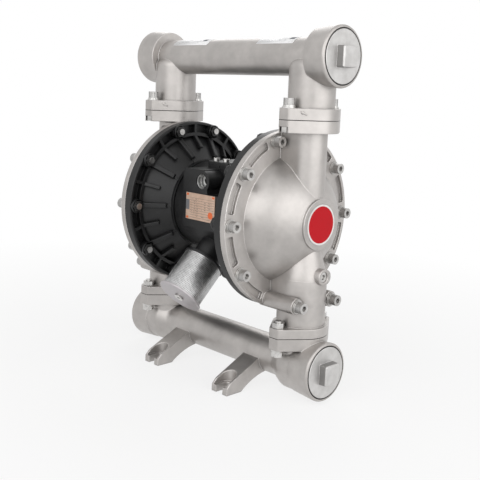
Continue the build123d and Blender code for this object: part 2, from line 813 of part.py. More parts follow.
inner_plate_x = joint_x - diaphragm_t / 2 - inner_plate_t
pilot_half = inner_plate_x - stroke + pilot_travel - moving_gap
with BuildPart() as pilot_rod:
    with BuildSketch(across(-pilot_half)) as pilot_section:
        with Locations((pilot_y, 0)):
            Circle(pilot_r)
    extrude(pilot_section.sketch, amount=2 * pilot_half)
    chamfer(pilot_rod.edges().filter_by(GeomType.CIRCLE), 0.6)
write("pilot_rod", pilot_rod)

# ================================================================ shaft, plates, diaphragms
with BuildPart() as diaphragm_shaft:
    rod(across(-inner_plate_x), shaft_r - running_gap, 2 * inner_plate_x)
    for side in SIDES:
        rod(across(side * inner_plate_x), plate_bolt_r, -side * plate_bolt_depth, Mode.SUBTRACT)
write("diaphragm_shaft", diaphragm_shaft)

with BuildPart() as shaft_bushes:
    for side in SIDES:
        inner_end = hub_x + (cavity_x - hub_x) - bush_length
        with BuildSketch(across(side * inner_end)) as bush:
            Circle(shaft_r + bush_wall - joint_gap / 2)
            Circle(shaft_r, mode=Mode.SUBTRACT)
        extrude(bush.sketch, amount=side * (bush_length - seal_d))
write("shaft_bushes", shaft_bushes)

with BuildPart() as shaft_seals:
    for side in SIDES:
        with BuildSketch(across(side * (cavity_x - seal_d))) as shaft_seal:
            Circle(shaft_r + bush_wall - joint_gap)
            Circle(shaft_r, mode=Mode.SUBTRACT)
        extrude(shaft_seal.sketch, amount=side * (seal_d - joint_gap))
write("shaft_seals", shaft_seals)

diaphragm_face = joint_x + diaphragm_t / 2
with BuildPart() as right_inner_plate:
    turned(
        [
            (inner_plate_x, 0),
            (inner_plate_x, plate_r - 12),
            (inner_plate_x + inner_plate_t - 3, plate_r),
            (inner_plate_x + inner_plate_t, plate_r - 2),
            (inner_plate_x + inner_plate_t, 0),
        ]
    )
    rod(across(inner_plate_x), plate_bolt_r, inner_plate_t, Mode.SUBTRACT)
write("right_inner_plate", right_inner_plate)
left_inner_plate = other_side(right_inner_plate)
write("left_inner_plate", left_inner_plate)

with BuildPart() as right_outer_plate:
    turned(
        [
            (diaphragm_face, 0),
            (diaphragm_face, plate_r - 2),
            (diaphragm_face + 3, plate_r),
            (diaphragm_face + outer_plate_t, plate_r - 14),
            (diaphragm_face + outer_plate_t, 0),
        ]
    )
    rod(across(diaphragm_face), plate_bolt_r, outer_plate_t, Mode.SUBTRACT)
write("right_outer_plate", right_outer_plate)
left_outer_plate = other_side(right_outer_plate)
write("left_outer_plate", left_outer_plate)

with BuildPart() as plate_bolts:
    for side in SIDES:
        head_x = diaphragm_face + outer_plate_t
        shank_start = inner_plate_x - plate_bolt_depth + 2
        rod(across(side * shank_start), plate_bolt_r - running_gap, side * (head_x - shank_start))
        with BuildSketch(across(side * head_x)) as bolt_head:
            RegularPolygon(plate_head_af / 2, 6, major_radius=False)
        extrude(bolt_head.sketch, amount=side * plate_head_h)
write("plate_bolts", plate_bolts)

with BuildPart() as right_diaphragm:
    near, far = joint_x - diaphragm_t / 2, joint_x + diaphragm_t / 2
    roll_mid = (roll_in_r + roll_out_r) / 2
    with BuildSketch(radial(0)) as web:
        with BuildLine():
            Line((near, plate_bolt_r), (near, roll_in_r))
            ThreePointArc((near, roll_in_r), (near + roll_rise, roll_mid), (near, roll_out_r))
            Polyline((near, roll_out_r), (near, diaphragm_r), (far, diaphragm_r), (far, roll_out_r + 2))
            ThreePointArc((far, roll_out_r + 2), (far + roll_rise, roll_mid), (far, roll_in_r - 2))
            Polyline((far, roll_in_r - 2), (far, plate_bolt_r), (near, plate_bolt_r))
        make_face()
    revolve(web.sketch, axis=shaft_axis)
write("right_diaphragm", right_diaphragm)
left_diaphragm = other_side(right_diaphragm)
write("left_diaphragm", left_diaphragm)

# ================================================================ ball valves
for place, x, ball_z in (
    ("left_discharge", -leg_x, discharge_ball_z),
    ("right_discharge", leg_x, discharge_ball_z),
    ("left_suction", -leg_x, suction_ball_z),
    ("right_suction", leg_x, suction_ball_z),
):
    with BuildPart() as ball:
        with Locations((x, 0, ball_z)):
            Sphere(ball_r)
    write(f"{place}_ball", ball)

with BuildPart() as valve_seats:
    for x in (-leg_x, leg_x):
        for seam in (discharge_seam_z, suction_seam_z):
            turned_up(
                [
                    (seat_bore_r, seam - seat_h),
                    (seat_r, seam - seat_h),
                    (seat_r, seam - seat_ring_d),
                    (seat_r - seat_ring_d, seam - seat_ring_d),
                    (seat_r - seat_ring_d, seam),
                    (seat_mouth_r, seam),
                    (seat_bore_r, seam - (seat_mouth_r - seat_bore_r)),
                ],
                x,
            )
write("valve_seats", valve_seats)

with BuildPart() as seat_rings:
    for x in (-leg_x, leg_x):
        for seam in (discharge_seam_z, suction_seam_z):
            with BuildSketch(Plane(origin=(x, 0, 0), x_dir=(1, 0, 0), z_dir=(0, -1, 0))) as ring_section:
                with Locations((seat_r - seat_ring_d / 2, seam - seat_ring_d / 2)):
                    Circle(seat_ring_d / 2 - joint_gap / 2)
            revolve(ring_section.sketch, axis=Axis((x, 0, 0), (0, 0, 1)))
write("seat_rings", seat_rings)

# ================================================================ muffler
with BuildPart() as muffler_ring:
    with BuildSketch(along_muffler(0)) as ring:
        Circle(muffler_ring_r)
        Circle(nipple_r + joint_gap, mode=Mode.SUBTRACT)
    extrude(ring.sketch, amount=-muffler_ring_t)
    chamfer(muffler_ring.edges().filter_by(GeomType.CIRCLE).sort_by(SortBy.LENGTH)[-2:], 0.8)
write("muffler_ring", muffler_ring)

with BuildPart() as muffler_shell:
    with BuildSketch(along_muffler(0)) as shell:
        Circle(muffler_shell_r)
        Circle(muffler_shell_r - muffler_sheet, mode=Mode.SUBTRACT)
    extrude(shell.sketch, amount=muffler_length - muffler_cap_t)
write("muffler_shell", muffler_shell)

with BuildPart() as muffler_core:
    with BuildSketch(along_muffler(joint_gap)) as core:
        Circle(core_r)
        Circle(core_bore_r, mode=Mode.SUBTRACT)
    extrude(core.sketch, amount=muffler_length - muffler_cap_t - joint_gap)
write("muffler_core", muffler_core)

with BuildPart() as muffler_cap:
    with BuildSketch(along_muffler(muffler_length - muffler_cap_t)) as cap_disc:
        Circle(muffler_cap_r)
        Circle(tie_rod_r, mode=Mode.SUBTRACT)
    extrude(cap_disc.sketch, amount=muffler_cap_t)
    chamfer(muffler_cap.edges().filter_by(GeomType.CIRCLE).sort_by(SortBy.LENGTH)[-2:], 0.6)
write("muffler_cap", muffler_cap)

with BuildPart() as muffler_nipple:
    with BuildSketch(along_muffler(0)) as nipple:
        Circle(nipple_r)
    extrude(nipple.sketch, amount=-20)
    rod(along_muffler(0), tie_rod_r, -8, Mode.SUBTRACT)
write("muffler_nipple", muffler_nipple)

with BuildPart() as muffler_tie_screw:
    rod(along_muffler(-6), tie_rod_r - running_gap, muffler_length + 6)
    rod(along_muffler(muffler_length), 2 * tie_rod_r, 2)
    with BuildSketch(along_muffler(muffler_length + 2)) as key:
        RegularPolygon(2, 6)
    extrude(key.sketch, amount=-1.2, mode=Mode.SUBTRACT)
write("muffler_tie_screw", muffler_tie_screw)

# ================================================================ port plugs, badges, stickers
for name, z in (("discharge_plug", discharge_z), ("suction_plug", suction_z)):
    with BuildPart() as port_plug:
        face = Plane(origin=(hub_face_x - plug_sink, 0, z), x_dir=(0, 1, 0), z_dir=(1, 0, 0))
        rod(face, plug_disc_r, -plug_length)
        with BuildSketch(face) as square:
            RectangleRounded(plug_head_w, plug_head_w, 2)
        extrude(square.sketch, amount=plug_head_h)
        chamfer(port_plug.edges().group_by(Axis.X)[-1], 1.2)
        chamfer(port_plug.edges().filter_by(GeomType.CIRCLE).group_by(SortBy.RADIUS)[-1], 1)
    write(name, port_plug)

with BuildPart() as right_badge:
    rod(across(badge_face_x - badge_recess), badge_r, badge_t)
write("right_badge", right_badge)
left_badge = other_side(right_badge)
write("left_badge", left_badge)

with BuildPart() as drain_plugs:
    for side in SIDES:
        with BuildSketch(across(side * (drain_face_x + 1.5))) as drain_plug:
            with Locations(drain_at):
                Circle(drain_r - 3 - joint_gap)
                RegularPolygon(4.6, 6, mode=Mode.SUBTRACT)
        extrude(drain_plug.sketch, amount=-side * 6)
        with BuildSketch(across(side * (drain_face_x - 4.5))) as drain_shank:
            with Locations(drain_at):
                Circle(drain_r - 3 - joint_gap)
        extrude(drain_shank.sketch, amount=-side * 5)
write("drain_plugs", drain_plugs)


# ================================================================ fasteners
def socket_screw(plane, length):
    """Socket screw with its head's under side on the plane, its shank behind it."""
    rod(plane, head_r, head_h)
    with BuildSketch(plane.offset(head_h)) as key:
        RegularPolygon(socket_af / 2, 6, major_radius=False)
    extrude(key.sketch, amount=-socket_depth, mode=Mode.SUBTRACT)
    rod(plane, bolt_d / 2, -length)


def washer(plane, outer_r, thickness):
    """Washer that lies on a plane."""
    with BuildSketch(plane) as ring:
        Circle(outer_r)
        Circle(bolt_hole_d / 2, mode=Mode.SUBTRACT)
    extrude(ring.sketch, amount=thickness)


def hex_nut(plane):
    """Nut that lies on a plane."""
    with BuildSketch(plane) as hexagon:
        RegularPolygon(nut_af / 2, 6, major_radius=False)
        Circle(bolt_d / 2, mode=Mode.SUBTRACT)
    extrude(hexagon.sketch, amount=nut_h)


def at_bolt(x, angle, side):
    """Plane on a chamber bolt's line, looking outwards on its side of the pump."""
    y, z = around(angle, bolt_circle_r)
    return Plane(origin=(side * x, y, chamber_z + z), x_dir=(0, 1, 0), z_dir=(side, 0, 0))


stack = washer_t + spring_washer_t
nut_end_x = rim_x - nut_h - thread_past_nut
short_seat_x = joint_x + flange_t
seat_of = {angle: short_seat_x for angle in short_bolt_angles()}
seat_of.update({angle: long_boss_x for angle in long_bolt_angles()})

for name, angles in (("chamber_bolts", short_bolt_angles()), ("long_chamber_bolts", long_bolt_angles())):
    with BuildPart() as screws:
        for side in SIDES:
            for angle in angles:
                head_x = seat_of[angle] + stack
                socket_screw(at_bolt(head_x, angle, side), head_x - nut_end_x)
    write(name, screws)

with BuildPart() as chamber_washers:
    for side in SIDES:
        for angle, seat_x in seat_of.items():
            washer(at_bolt(seat_x, angle, side), washer_r, washer_t)
write("chamber_washers", chamber_washers)

with BuildPart() as chamber_spring_washers:
    for side in SIDES:
        for angle, seat_x in seat_of.items():
            washer(at_bolt(seat_x + washer_t, angle, side), spring_washer_r, spring_washer_t)
write("chamber_spring_washers", chamber_spring_washers)

with BuildPart() as chamber_nuts:
    for side in SIDES:
        for angle in seat_of:
            hex_nut(at_bolt(rim_x - nut_h, angle, side))
write("chamber_nuts", chamber_nuts)


def joint_spots():
    return [(x, y) for x in (-leg_x, leg_x) for y in (-flange_bolt_y, flange_bolt_y)]


discharge_top_z = discharge_seam_z + manifold_flange_t
with BuildPart() as discharge_flange_bolts:
    for x, y in joint_spots():
        head_z = discharge_top_z + stack
        length = head_z - (discharge_seam_z - chamber_top_flange_t) - joint_gap
        socket_screw(level(head_z, x, y), length)
write("discharge_flange_bolts", discharge_flange_bolts)

with BuildPart() as discharge_flange_washers:
    for x, y in joint_spots():
        washer(level(discharge_top_z, x, y), washer_r, washer_t)
        washer(level(discharge_top_z + washer_t, x, y), spring_washer_r, spring_washer_t)
write("discharge_flange_washers", discharge_flange_washers)

with BuildPart() as discharge_flange_nuts:
    for x, y in joint_spots():
        hex_nut(level(discharge_seam_z - chamber_top_flange_t + nut_pocket - nut_h, x, y))
write("discharge_flange_nuts", discharge_flange_nuts)

suction_under_z = suction_seam_z - suction_flange_t
suction_over_z = suction_seam_z + chamber_low_flange_t
with BuildPart() as suction_flange_bolts:
    for x, y in joint_spots():
        head_z = suction_under_z - stack
        with BuildSketch(level(head_z, x, y)) as hex_head:
            RegularPolygon(nut_af / 2, 6, major_radius=False)
        extrude(hex_head.sketch, amount=-hex_head_h)
        rod(level(head_z, x, y), bolt_d / 2, suction_over_z + nut_h + thread_past_nut - head_z)
write("suction_flange_bolts", suction_flange_bolts)

with BuildPart() as suction_flange_washers:
    for x, y in joint_spots():
        washer(level(suction_under_z, x, y), washer_r, -washer_t)
        washer(level(suction_under_z - washer_t, x, y), spring_washer_r, -spring_washer_t)
write("suction_flange_washers", suction_flange_washers)

with BuildPart() as suction_flange_nuts:
    for x, y in joint_spots():
        hex_nut(level(suction_over_z, x, y))
write("suction_flange_nuts", suction_flange_nuts)

with BuildPart() as valve_cover_screws:
    for x, y in ((-9, -24), (9, -24), (-9, 24), (9, 24)):
        top = level(chamber_z + cover_z + cover_t, x, y)
        rod(top, 4.3, 4)
        with BuildSketch(top.offset(4)) as cover_key:
            RegularPolygon(2.5, 6, major_radius=False)
        extrude(cover_key.sketch, amount=-2, mode=Mode.SUBTRACT)
write("valve_cover_screws", valve_cover_screws)
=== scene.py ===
from math import cos, pi, radians, sin, tan, tau

import bmesh
import bpy
from mathutils import Matrix, Vector


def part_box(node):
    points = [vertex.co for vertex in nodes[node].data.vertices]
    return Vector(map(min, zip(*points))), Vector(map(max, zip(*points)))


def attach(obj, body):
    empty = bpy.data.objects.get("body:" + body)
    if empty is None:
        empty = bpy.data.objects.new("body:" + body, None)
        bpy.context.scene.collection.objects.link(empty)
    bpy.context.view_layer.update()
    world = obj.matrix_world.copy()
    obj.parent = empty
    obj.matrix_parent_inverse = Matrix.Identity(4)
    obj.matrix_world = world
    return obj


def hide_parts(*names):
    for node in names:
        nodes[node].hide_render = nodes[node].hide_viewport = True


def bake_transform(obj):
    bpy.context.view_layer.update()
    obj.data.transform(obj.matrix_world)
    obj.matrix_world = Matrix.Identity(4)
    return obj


# Air operated double diaphragm pump. Metres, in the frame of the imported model: the pump stands
# on Z = 0, its shaft and manifolds run along X, the air inlet and the muffler face -Y.

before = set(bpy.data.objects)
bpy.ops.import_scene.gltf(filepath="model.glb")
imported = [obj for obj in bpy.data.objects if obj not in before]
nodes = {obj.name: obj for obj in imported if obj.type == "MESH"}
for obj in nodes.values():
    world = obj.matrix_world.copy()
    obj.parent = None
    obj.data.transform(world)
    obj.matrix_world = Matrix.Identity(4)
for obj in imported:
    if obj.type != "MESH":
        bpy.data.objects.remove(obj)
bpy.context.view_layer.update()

MM = 0.001


def middle(node):
    """Centre of a CAD node's box."""
    low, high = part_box(node)
    return (low + high) / 2


shaft_z = middle("diaphragm_shaft").z
discharge_z = middle("discharge_plug").z
suction_z = middle("suction_plug").z

# ---------------------------------------------------------------- sizes of the pump
CHAMBER_BOLTS = 10               # screws round each chamber
FIRST_BOLT = 18                  # degrees from the top to the first of them
BOLT_CIRCLE_R = 98.7 * MM        # their circle about the shaft
DISCHARGE_SEAM_Z = 331.2 * MM    # joint faces between manifolds and chambers
SUCTION_SEAM_Z = 77.6 * MM
LEG_X = 122.4 * MM               # manifold legs, from the middle
TUBE_R = 22.4 * MM               # discharge tube
FLANGE_BOLT_Y = 38.5 * MM        # bolts of the two-bolt flanges
FRONT_Y = 57.0 * MM              # flat front of the centre body

HUB_FACE_X = 165.2 * MM          # end faces of the hubs start past this
PLUG_FACE_X = 165.9 * MM         # front of the plugs' discs
PLUG_R = 30.6 * MM
PLUG_DISC_T = 1.2 * MM
PLUG_GAP_R = 31.4 * MM           # gap round the discs
PLUG_HEAD_W = 24.5 * MM          # square heads
PLUG_HEAD_H = 9.9 * MM
PORT_THREAD_X = 163.0 * MM       # outer end of the port threads
PORT_THREAD_R = 28.25 * MM
PORT_THREAD_LENGTH = 18.0 * MM

INLET_Z = 37.6 * MM              # air inlet, above the shaft
INLET_THREAD_R = 9.25 * MM
INLET_THREAD_LENGTH = 9.0 * MM
INLET_PASSAGE_R = 4.5 * MM

DRAIN_X = 155.6 * MM             # drain boss on the suction neck
DRAIN_DROP = 60.8 * MM           # below the shaft
DRAIN_R = 9.6 * MM
DRAIN_BORE_R = 6.2 * MM
DRAIN_SOCKET_R = 3.4 * MM        # corners of the plug's hexagon socket
SWELL_FLANK = 14.0 * MM          # straight flanks of the neck's shoulder

EYE_X = 77.8 * MM                # eyes round the chamber nuts start at the rim
EYE_CIRCLE_R = 98.0 * MM         # their centres, from the shaft
EYE_R = 8.9 * MM
EYE_BORE_R = 7.6 * MM
EYE_LENGTH = 4.5 * MM

# ribs' outlines on the air chambers: X and distance from the shaft, in millimetres
LONG_RIB = [(77.5, 88.8), (56.5, 66.0), (57.5, 62.5), (62.0, 62.5), (84.5, 88.8)]
SHORT_RIB = [(77.5, 88.8), (63.5, 74.5), (65.0, 72.0), (69.0, 71.5), (84.5, 88.8)]
LONG_RIB_W = 6.6 * MM
SHORT_RIB_W = 5.0 * MM
RIM_X = 78.0 * MM                # past this the ribs' ends lie inside the rim

SECTORS = 8                      # parts a diaphragm is cut into, each a wedge round the shaft

MUFFLER_TILT = 45                # down and to the front
MUFFLER_Y = 49.9 * MM            # mounting ring, in front of the shaft
MUFFLER_DROP = 66.6 * MM         # and below it
MUFFLER_R = 26.6 * MM
MUFFLER_LENGTH = 50.0 * MM       # perforated sheet
MUFFLER_BAND = 1.0 * MM          # bare edge at each of its ends
MUFFLER_HOLE_R = 0.52 * MM

LABEL_FRONT = 50                 # labels on the tube, degrees down to the front
LABEL_BACK = 12                  # and past the top; their ends along X follow
LABEL_ENDS = {"tube_label_left": (-110.0 * MM, -42.5 * MM), "tube_label_right": (45.5 * MM, 104.0 * MM)}

ARROW_X = 17.4 * MM              # cast arrows on the discharge flanges, from the leg's axis
ARROW_Y = 32.2 * MM
ARROW_Z = 339.2 * MM
ARROW_WAY = 54                   # degrees: the flange side's direction, and the arrow's lean on it
ARROW_LEAN = 62

# ---------------------------------------------------------------- camera
FILM = 36.0                      # sensor width in camera units
LENS = 59.75
camera_place = Vector((0.72749, -0.71264, 0.15406)) + Vector((0, 0, shaft_z))
camera_right = Vector((0.6796, 0.7327, 0.0356))
camera_up = Vector((-0.1243, 0.0672, 0.9900))
camera_shift = (0.05, -0.0896)


def place_camera():
    data = bpy.data.cameras.new("camera")
    data.lens = LENS
    data.sensor_width = FILM
    data.shift_x, data.shift_y = camera_shift
    data.clip_start, data.clip_end = 0.01, 50
    camera = bpy.data.objects.new("camera", data)
    right = camera_right.normalized()
    back = right.cross(camera_up).normalized()
    up = back.cross(right)
    turn = Matrix((right, up, back)).transposed().to_4x4()
    camera.matrix_world = Matrix.Translation(camera_place) @ turn
    bpy.context.scene.collection.objects.link(camera)
    bpy.context.scene.camera = camera


place_camera()


# ================================================================ shader maths
class Signal:
    """An output socket that takes part in sums and products."""

    def __init__(self, finish, socket):
        self.finish = finish
        self.socket = socket

    def math(self, operation, *others):
        values = {0: self}
        values.update({n + 1: other for n, other in enumerate(others)})
        return self.finish.add("ShaderNodeMath", {"operation": operation}, values)

    def __add__(self, other):
        return self.math("ADD", other)

    def __sub__(self, other):
        return self.math("SUBTRACT", other)

    def __rsub__(self, other):
        return self.finish.add("ShaderNodeMath", {"operation": "SUBTRACT"}, {0: other, 1: self})

    def __mul__(self, other):
        return self.math("MULTIPLY", other)

    def __truediv__(self, other):
        return self.math("DIVIDE", other)

    def __pow__(self, other):
        return self.math("POWER", other)

    def __abs__(self):
        return self.math("ABSOLUTE")

    def __lt__(self, other):
        return self.math("LESS_THAN", other)

    def __gt__(self, other):
        return self.math("GREATER_THAN", other)

    def __radd__(self, other):
        """A sum starts from 0, which needs no node."""
        return self if other == 0 else self.math("ADD", other)


class Finish:
    """A material, with short ways to add its nodes."""

    def __init__(self, name, **shader_values):
        self.material = bpy.data.materials.new(name)
        self.material.use_nodes = True
        self.tree = self.material.node_tree
        self.shader = self.tree.nodes["Principled BSDF"]
        for socket, value in shader_values.items():
            self.shader.inputs[socket.replace("_", " ")].default_value = value

    def add(self, kind, settings=None, values=None, output=0):
        """One node: its settings, then the values or links of its sockets."""
        node = self.tree.nodes.new(kind)
        for key, value in (settings or {}).items():
            setattr(node, key, value)
        for key, value in (values or {}).items():
            self.link(value, node.inputs[key])
        return Signal(self, node.outputs[output])

    def link(self, value, socket):
        if isinstance(value, Signal):
            self.tree.links.new(value.socket, socket)
        elif isinstance(value, (tuple, list)) and len(value) == 3 and socket.type == "RGBA":
            socket.default_value = (*value, 1)
        else:
            socket.default_value = value

    def feed(self, socket, value):
        self.link(value, self.shader.inputs[socket])

    def place(self, centre=(0, 0, 0)):
        """Object coordinates, counted from a centre."""
        here = self.add("ShaderNodeTexCoord", output="Object")
        return self.add("ShaderNodeVectorMath", {"operation": "SUBTRACT"}, {0: here, 1: centre})

    def stretched(self, scale):
        """Object coordinates, scaled along each axis."""
        return self.add("ShaderNodeMapping", values={"Vector": self.place(), "Scale": scale})

    def parts(self, vector):
        split = self.add("ShaderNodeSeparateXYZ", values={0: vector})
        outputs = split.socket.node.outputs
        return [Signal(self, outputs[axis]) for axis in "XYZ"]

    def noise(self, vector, scale, detail, roughness):
        return self.add(
            "ShaderNodeTexNoise",
            values={"Vector": vector, "Scale": scale, "Detail": detail, "Roughness": roughness},
            output="Fac",
        )

    def spread(self, value, low, high, to_low=0.0, to_high=1.0):
        """A value from low to high, mapped to another span and kept inside it."""
        return self.add(
            "ShaderNodeMapRange",
            {"clamp": True},
            {"Value": value, "From Min": low, "From Max": high, "To Min": to_low, "To Max": to_high},
        )

    def blend(self, amount, first, second):
        """Mix of two colours."""
        node = self.tree.nodes.new("ShaderNodeMix")
        node.data_type = "RGBA"
        self.link(amount, node.inputs["Factor"])
        self.link(first, node.inputs[6])
        self.link(second, node.inputs[7])
        return Signal(self, node.outputs[2])

    def rounded(self, radius):
        """Surface direction with the corners of the mesh rounded by that radius."""
        return self.add("ShaderNodeBevel", {"samples": 6}, {"Radius": radius})

    def edge(self, radius):
        """1 on sharp corners, 0 on flat and smooth faces."""
        sharp = self.add("ShaderNodeNewGeometry", output="Normal")
        alike = self.add(
            "ShaderNodeVectorMath", {"operation": "DOT_PRODUCT"}, {0: self.rounded(radius), 1: sharp}, "Value"
        )
        return self.spread(alike, 0.97, 0.80)

    def hollow(self, distance):
        """1 in corners and hollows, 0 in the open."""
        open_share = self.add("ShaderNodeAmbientOcclusion", {"samples": 8}, {"Distance": distance}, "AO")
        return self.spread(open_share, 0.75, 0.25)

    def bump(self, height, distance, strength, edge=0.0):
        """Relief of a height in metres; edge rounds the corners of the mesh by that radius."""
        values = {"Height": height, "Distance": distance, "Strength": strength}
        if edge:
            values["Normal"] = self.rounded(edge)
        self.feed("Normal", self.add("ShaderNodeBump", values=values))


# ================================================================ finishes
def blasted_steel(name, colour, shade, roughness, metallic, edge):
    """Bead-blasted casting: fine grain, soft blotches, paler edges that are partly wear and partly a painted
    highlight, painted shade in the hollows.
    """
    finish = Finish(name, Metallic=metallic)
    here = finish.place()
    blotch = finish.noise(here, 22, 3, 0.6)
    cloud = finish.noise(here, 75, 4, 0.65)
    grain = finish.noise(here, 1500, 2, 0.6)
    tone = finish.spread(blotch * 0.65 + cloud * 0.35, 0.36, 0.64)
    edge_wear_and_highlight = finish.edge(edge)
    painted_shade_in_hollows = finish.hollow(6 * MM)
    skin = finish.blend(tone, shade, colour)
    # painted shade: hollows found by ambient occlusion are darkened
    skin = finish.blend(painted_shade_in_hollows * 0.8, skin, tuple(0.28 * c for c in colour))
    # paler edges, partly wear and partly a painted highlight
    skin = finish.blend(edge_wear_and_highlight * 0.5, skin, (0.86, 0.84, 0.82))
    x, y, z = finish.parts(here)
    seam = sum((abs(z - height) < 0.4 * MM) for height in (DISCHARGE_SEAM_Z, SUCTION_SEAM_Z))
    for axis_z in (discharge_z, suction_z):
        away = (y * y + (z - axis_z) ** 2) ** 0.5
        seam = seam + (abs(away - PLUG_GAP_R) < 0.8 * MM) * (x > HUB_FACE_X)
    skin = finish.blend(seam, skin, (0.035, 0.033, 0.032))
    finish.feed("Base Color", skin)
    gloss = finish.spread(cloud + grain * 0.4, 0.4, 1.0, roughness - 0.05, roughness + 0.06)
    finish.feed("Roughness", gloss - edge_wear_and_highlight * 0.1)
    finish.bump(grain + cloud * 0.6 - seam * 8, 0.05 * MM, 0.5, edge)
    return finish.material


def satin_black(name, colour, roughness, edge):
    """Powder coat or moulded plastic: orange-peel skin, faint dust, painted shade in hollows, paler edges
    that are partly rubbed and partly a painted highlight.
    """
    finish = Finish(name, Specular_IOR_Level=0.36)
    here = finish.place()
    peel = finish.noise(here, 900, 2, 0.5)
    dust = finish.noise(here, 45, 4, 0.6)
    paler = tuple(1.5 * c + 0.004 for c in colour)
    rubbed_and_highlit = tuple(2.0 * c + 0.004 for c in colour)
    skin = finish.blend(finish.spread(dust, 0.45, 0.75), colour, paler)
    # painted shade: hollows found by ambient occlusion are darkened
    skin = finish.blend(finish.hollow(14 * MM) * 0.85, skin, tuple(0.2 * c for c in colour))
    # paler edges, partly rubbed and partly a painted highlight
    finish.feed("Base Color", finish.blend(finish.edge(edge), skin, rubbed_and_highlit))
    finish.feed("Roughness", finish.spread(dust, 0.3, 0.7, roughness - 0.04, roughness + 0.06))
    finish.bump(peel, 0.06 * MM, 0.45, edge)
    return finish.material


def turned_metal(name, colour, shade, roughness, edge):
    """Bright machined steel with faint handling marks, and painted shade in its hollows."""
    finish = Finish(name, Metallic=1.0)
    here = finish.place()
    smear = finish.noise(here, 160, 3, 0.6)
    fine = finish.noise(here, 1800, 2, 0.5)
    skin = finish.blend(finish.spread(smear, 0.35, 0.65), shade, colour)
    # painted shade: hollows found by ambient occlusion are darkened
    finish.feed("Base Color", finish.blend(finish.hollow(2.5 * MM) * 0.85, skin, (0.04, 0.04, 0.04)))
    finish.feed("Roughness", finish.spread(smear + fine * 0.3, 0.4, 0.9, roughness - 0.05, roughness + 0.08))
    finish.bump(fine, 0.02 * MM, 0.4, edge)
    return finish.material


def plain(name, colour, roughness, metallic=0.0, scale=700):
    """Smooth material with a slight change of tone and gloss."""
    finish = Finish(name, Metallic=metallic)
    here = finish.place()
    tone = finish.noise(here, 60, 3, 0.6)
    skin = finish.noise(here, scale, 2, 0.5)
    darker = tuple(0.9 * c for c in colour)
    finish.feed("Base Color", finish.blend(finish.spread(tone, 0.35, 0.65), darker, colour))
    finish.feed("Roughness", finish.spread(tone, 0.3, 0.7, roughness - 0.03, roughness + 0.04))
    finish.bump(skin, 0.02 * MM, 0.3)
    return finish.material


def badge_enamel():
    """Red enamel disc with a white ring round it."""
    finish = Finish("badge_enamel", Specular_IOR_Level=0.15)
    _, y, z = finish.parts(finish.place((0, 0, shaft_z)))
    across = (y * y + z * z) ** 0.5
    tone = finish.noise(finish.place(), 90, 3, 0.6)
    red = finish.blend(tone, (0.45, 0.005, 0.011), (0.50, 0.007, 0.014))
    ring = finish.spread(across, 21.7 * MM, 22.0 * MM)
    finish.feed("Base Color", finish.blend(ring, red, (0.74, 0.72, 0.71)))
    finish.feed("Roughness", finish.spread(tone, 0.3, 0.7, 0.42, 0.5))
    finish.bump(tone, 0.02 * MM, 0.3, 0.2 * MM)
    return finish.material


def plug_skin():
    """Pale cast plug: the sides of its square head painted darker than its faces, as shade."""
    finish = Finish("plug_steel", Metallic=0.75)
    here = finish.place()
    sharp = finish.add("ShaderNodeNewGeometry", output="Normal")
    facing = finish.parts(sharp)[0]
    tone = finish.spread(finish.noise(here, 60, 4, 0.6), 0.36, 0.64)
    grain = finish.noise(here, 1300, 2, 0.6)
    skin = finish.blend(tone, (0.52, 0.51, 0.50), (0.62, 0.61, 0.60))
    # painted shade: faces turned across X, the sides of the square head, are darkened
    skin = finish.blend((abs(facing) < 0.3) * 0.75, skin, (0.16, 0.155, 0.15))
    # paler edges, partly wear and partly a painted highlight
    finish.feed("Base Color", finish.blend(finish.edge(0.8 * MM) * 0.5, skin, (0.80, 0.79, 0.78)))
    finish.feed("Roughness", finish.spread(grain, 0.3, 0.7, 0.40, 0.50))
    finish.bump(grain, 0.05 * MM, 0.5, 0.5 * MM)
    return finish.material


def box_mask(u, v, low, high):
    """1 inside a rectangle of the plate's face, in millimetres."""
    inside = (u > low[0] * MM) * (u < high[0] * MM)
    return inside * (v > low[1] * MM) * (v < high[1] * MM)


def name_plate_print():
    """Copper-toned plate: ruled fields, corner marks, a disc and a grey patch; nothing written."""
    finish = Finish("name_plate_print", Metallic=0.35)
    plate = middle("name_plate")
    u, _, v = finish.parts(finish.place((plate.x, 0, plate.z)))
    tone = finish.noise(finish.place(), 110, 4, 0.6)
    colour = finish.blend(finish.spread(tone, 0.35, 0.65), (0.58, 0.40, 0.30), (0.68, 0.49, 0.38))
    ink = (0.10, 0.09, 0.085)
    speck = finish.noise(finish.stretched((1, 1, 0.1)), 620, 1, 0.5)
    row_height = 3.1 * MM
    row = (v / row_height).math("FRACT")
    rule = abs(row - 0.5) < 0.09
    fields = box_mask(u, v, (-19, -14.5), (25, 11))
    colour = finish.blend(rule * fields * 0.6, colour, ink)
    entry = (abs(row - 0.02) < 0.22) * (speck > 0.52)
    corners = (((-17, -9), (-4, 10)), ((2, -5), (10, 8)), ((14, -1), (22, 9)), ((-6, -14), (10, -10)))
    columns = sum(box_mask(u, v, low, high) for low, high in corners)
    colour = finish.blend(entry * columns * 0.9, colour, ink)
    patch = box_mask(u, v, (-26.5, -5), (-20, 8))
    colour = finish.blend(patch, colour, (0.20, 0.20, 0.21))
    orange = (0.80, 0.16, 0.045)
    marks = box_mask(abs(u), abs(v), (21.5, 13.2), (25.6, 15.8))
    away = ((u - 19 * MM) ** 2 + (v + 8 * MM) ** 2) ** 0.5
    ring = (away < 4.4 * MM) * (1 - (abs(away - 2.6 * MM) < 0.45 * MM) * 0.5)
    colour = finish.blend((marks + ring) > 0.4, colour, orange)
    finish.feed("Base Color", colour)
    finish.feed("Roughness", finish.spread(tone, 0.3, 0.7, 0.34, 0.46))
    finish.bump(tone, 0.03 * MM, 0.3)
    return finish.material


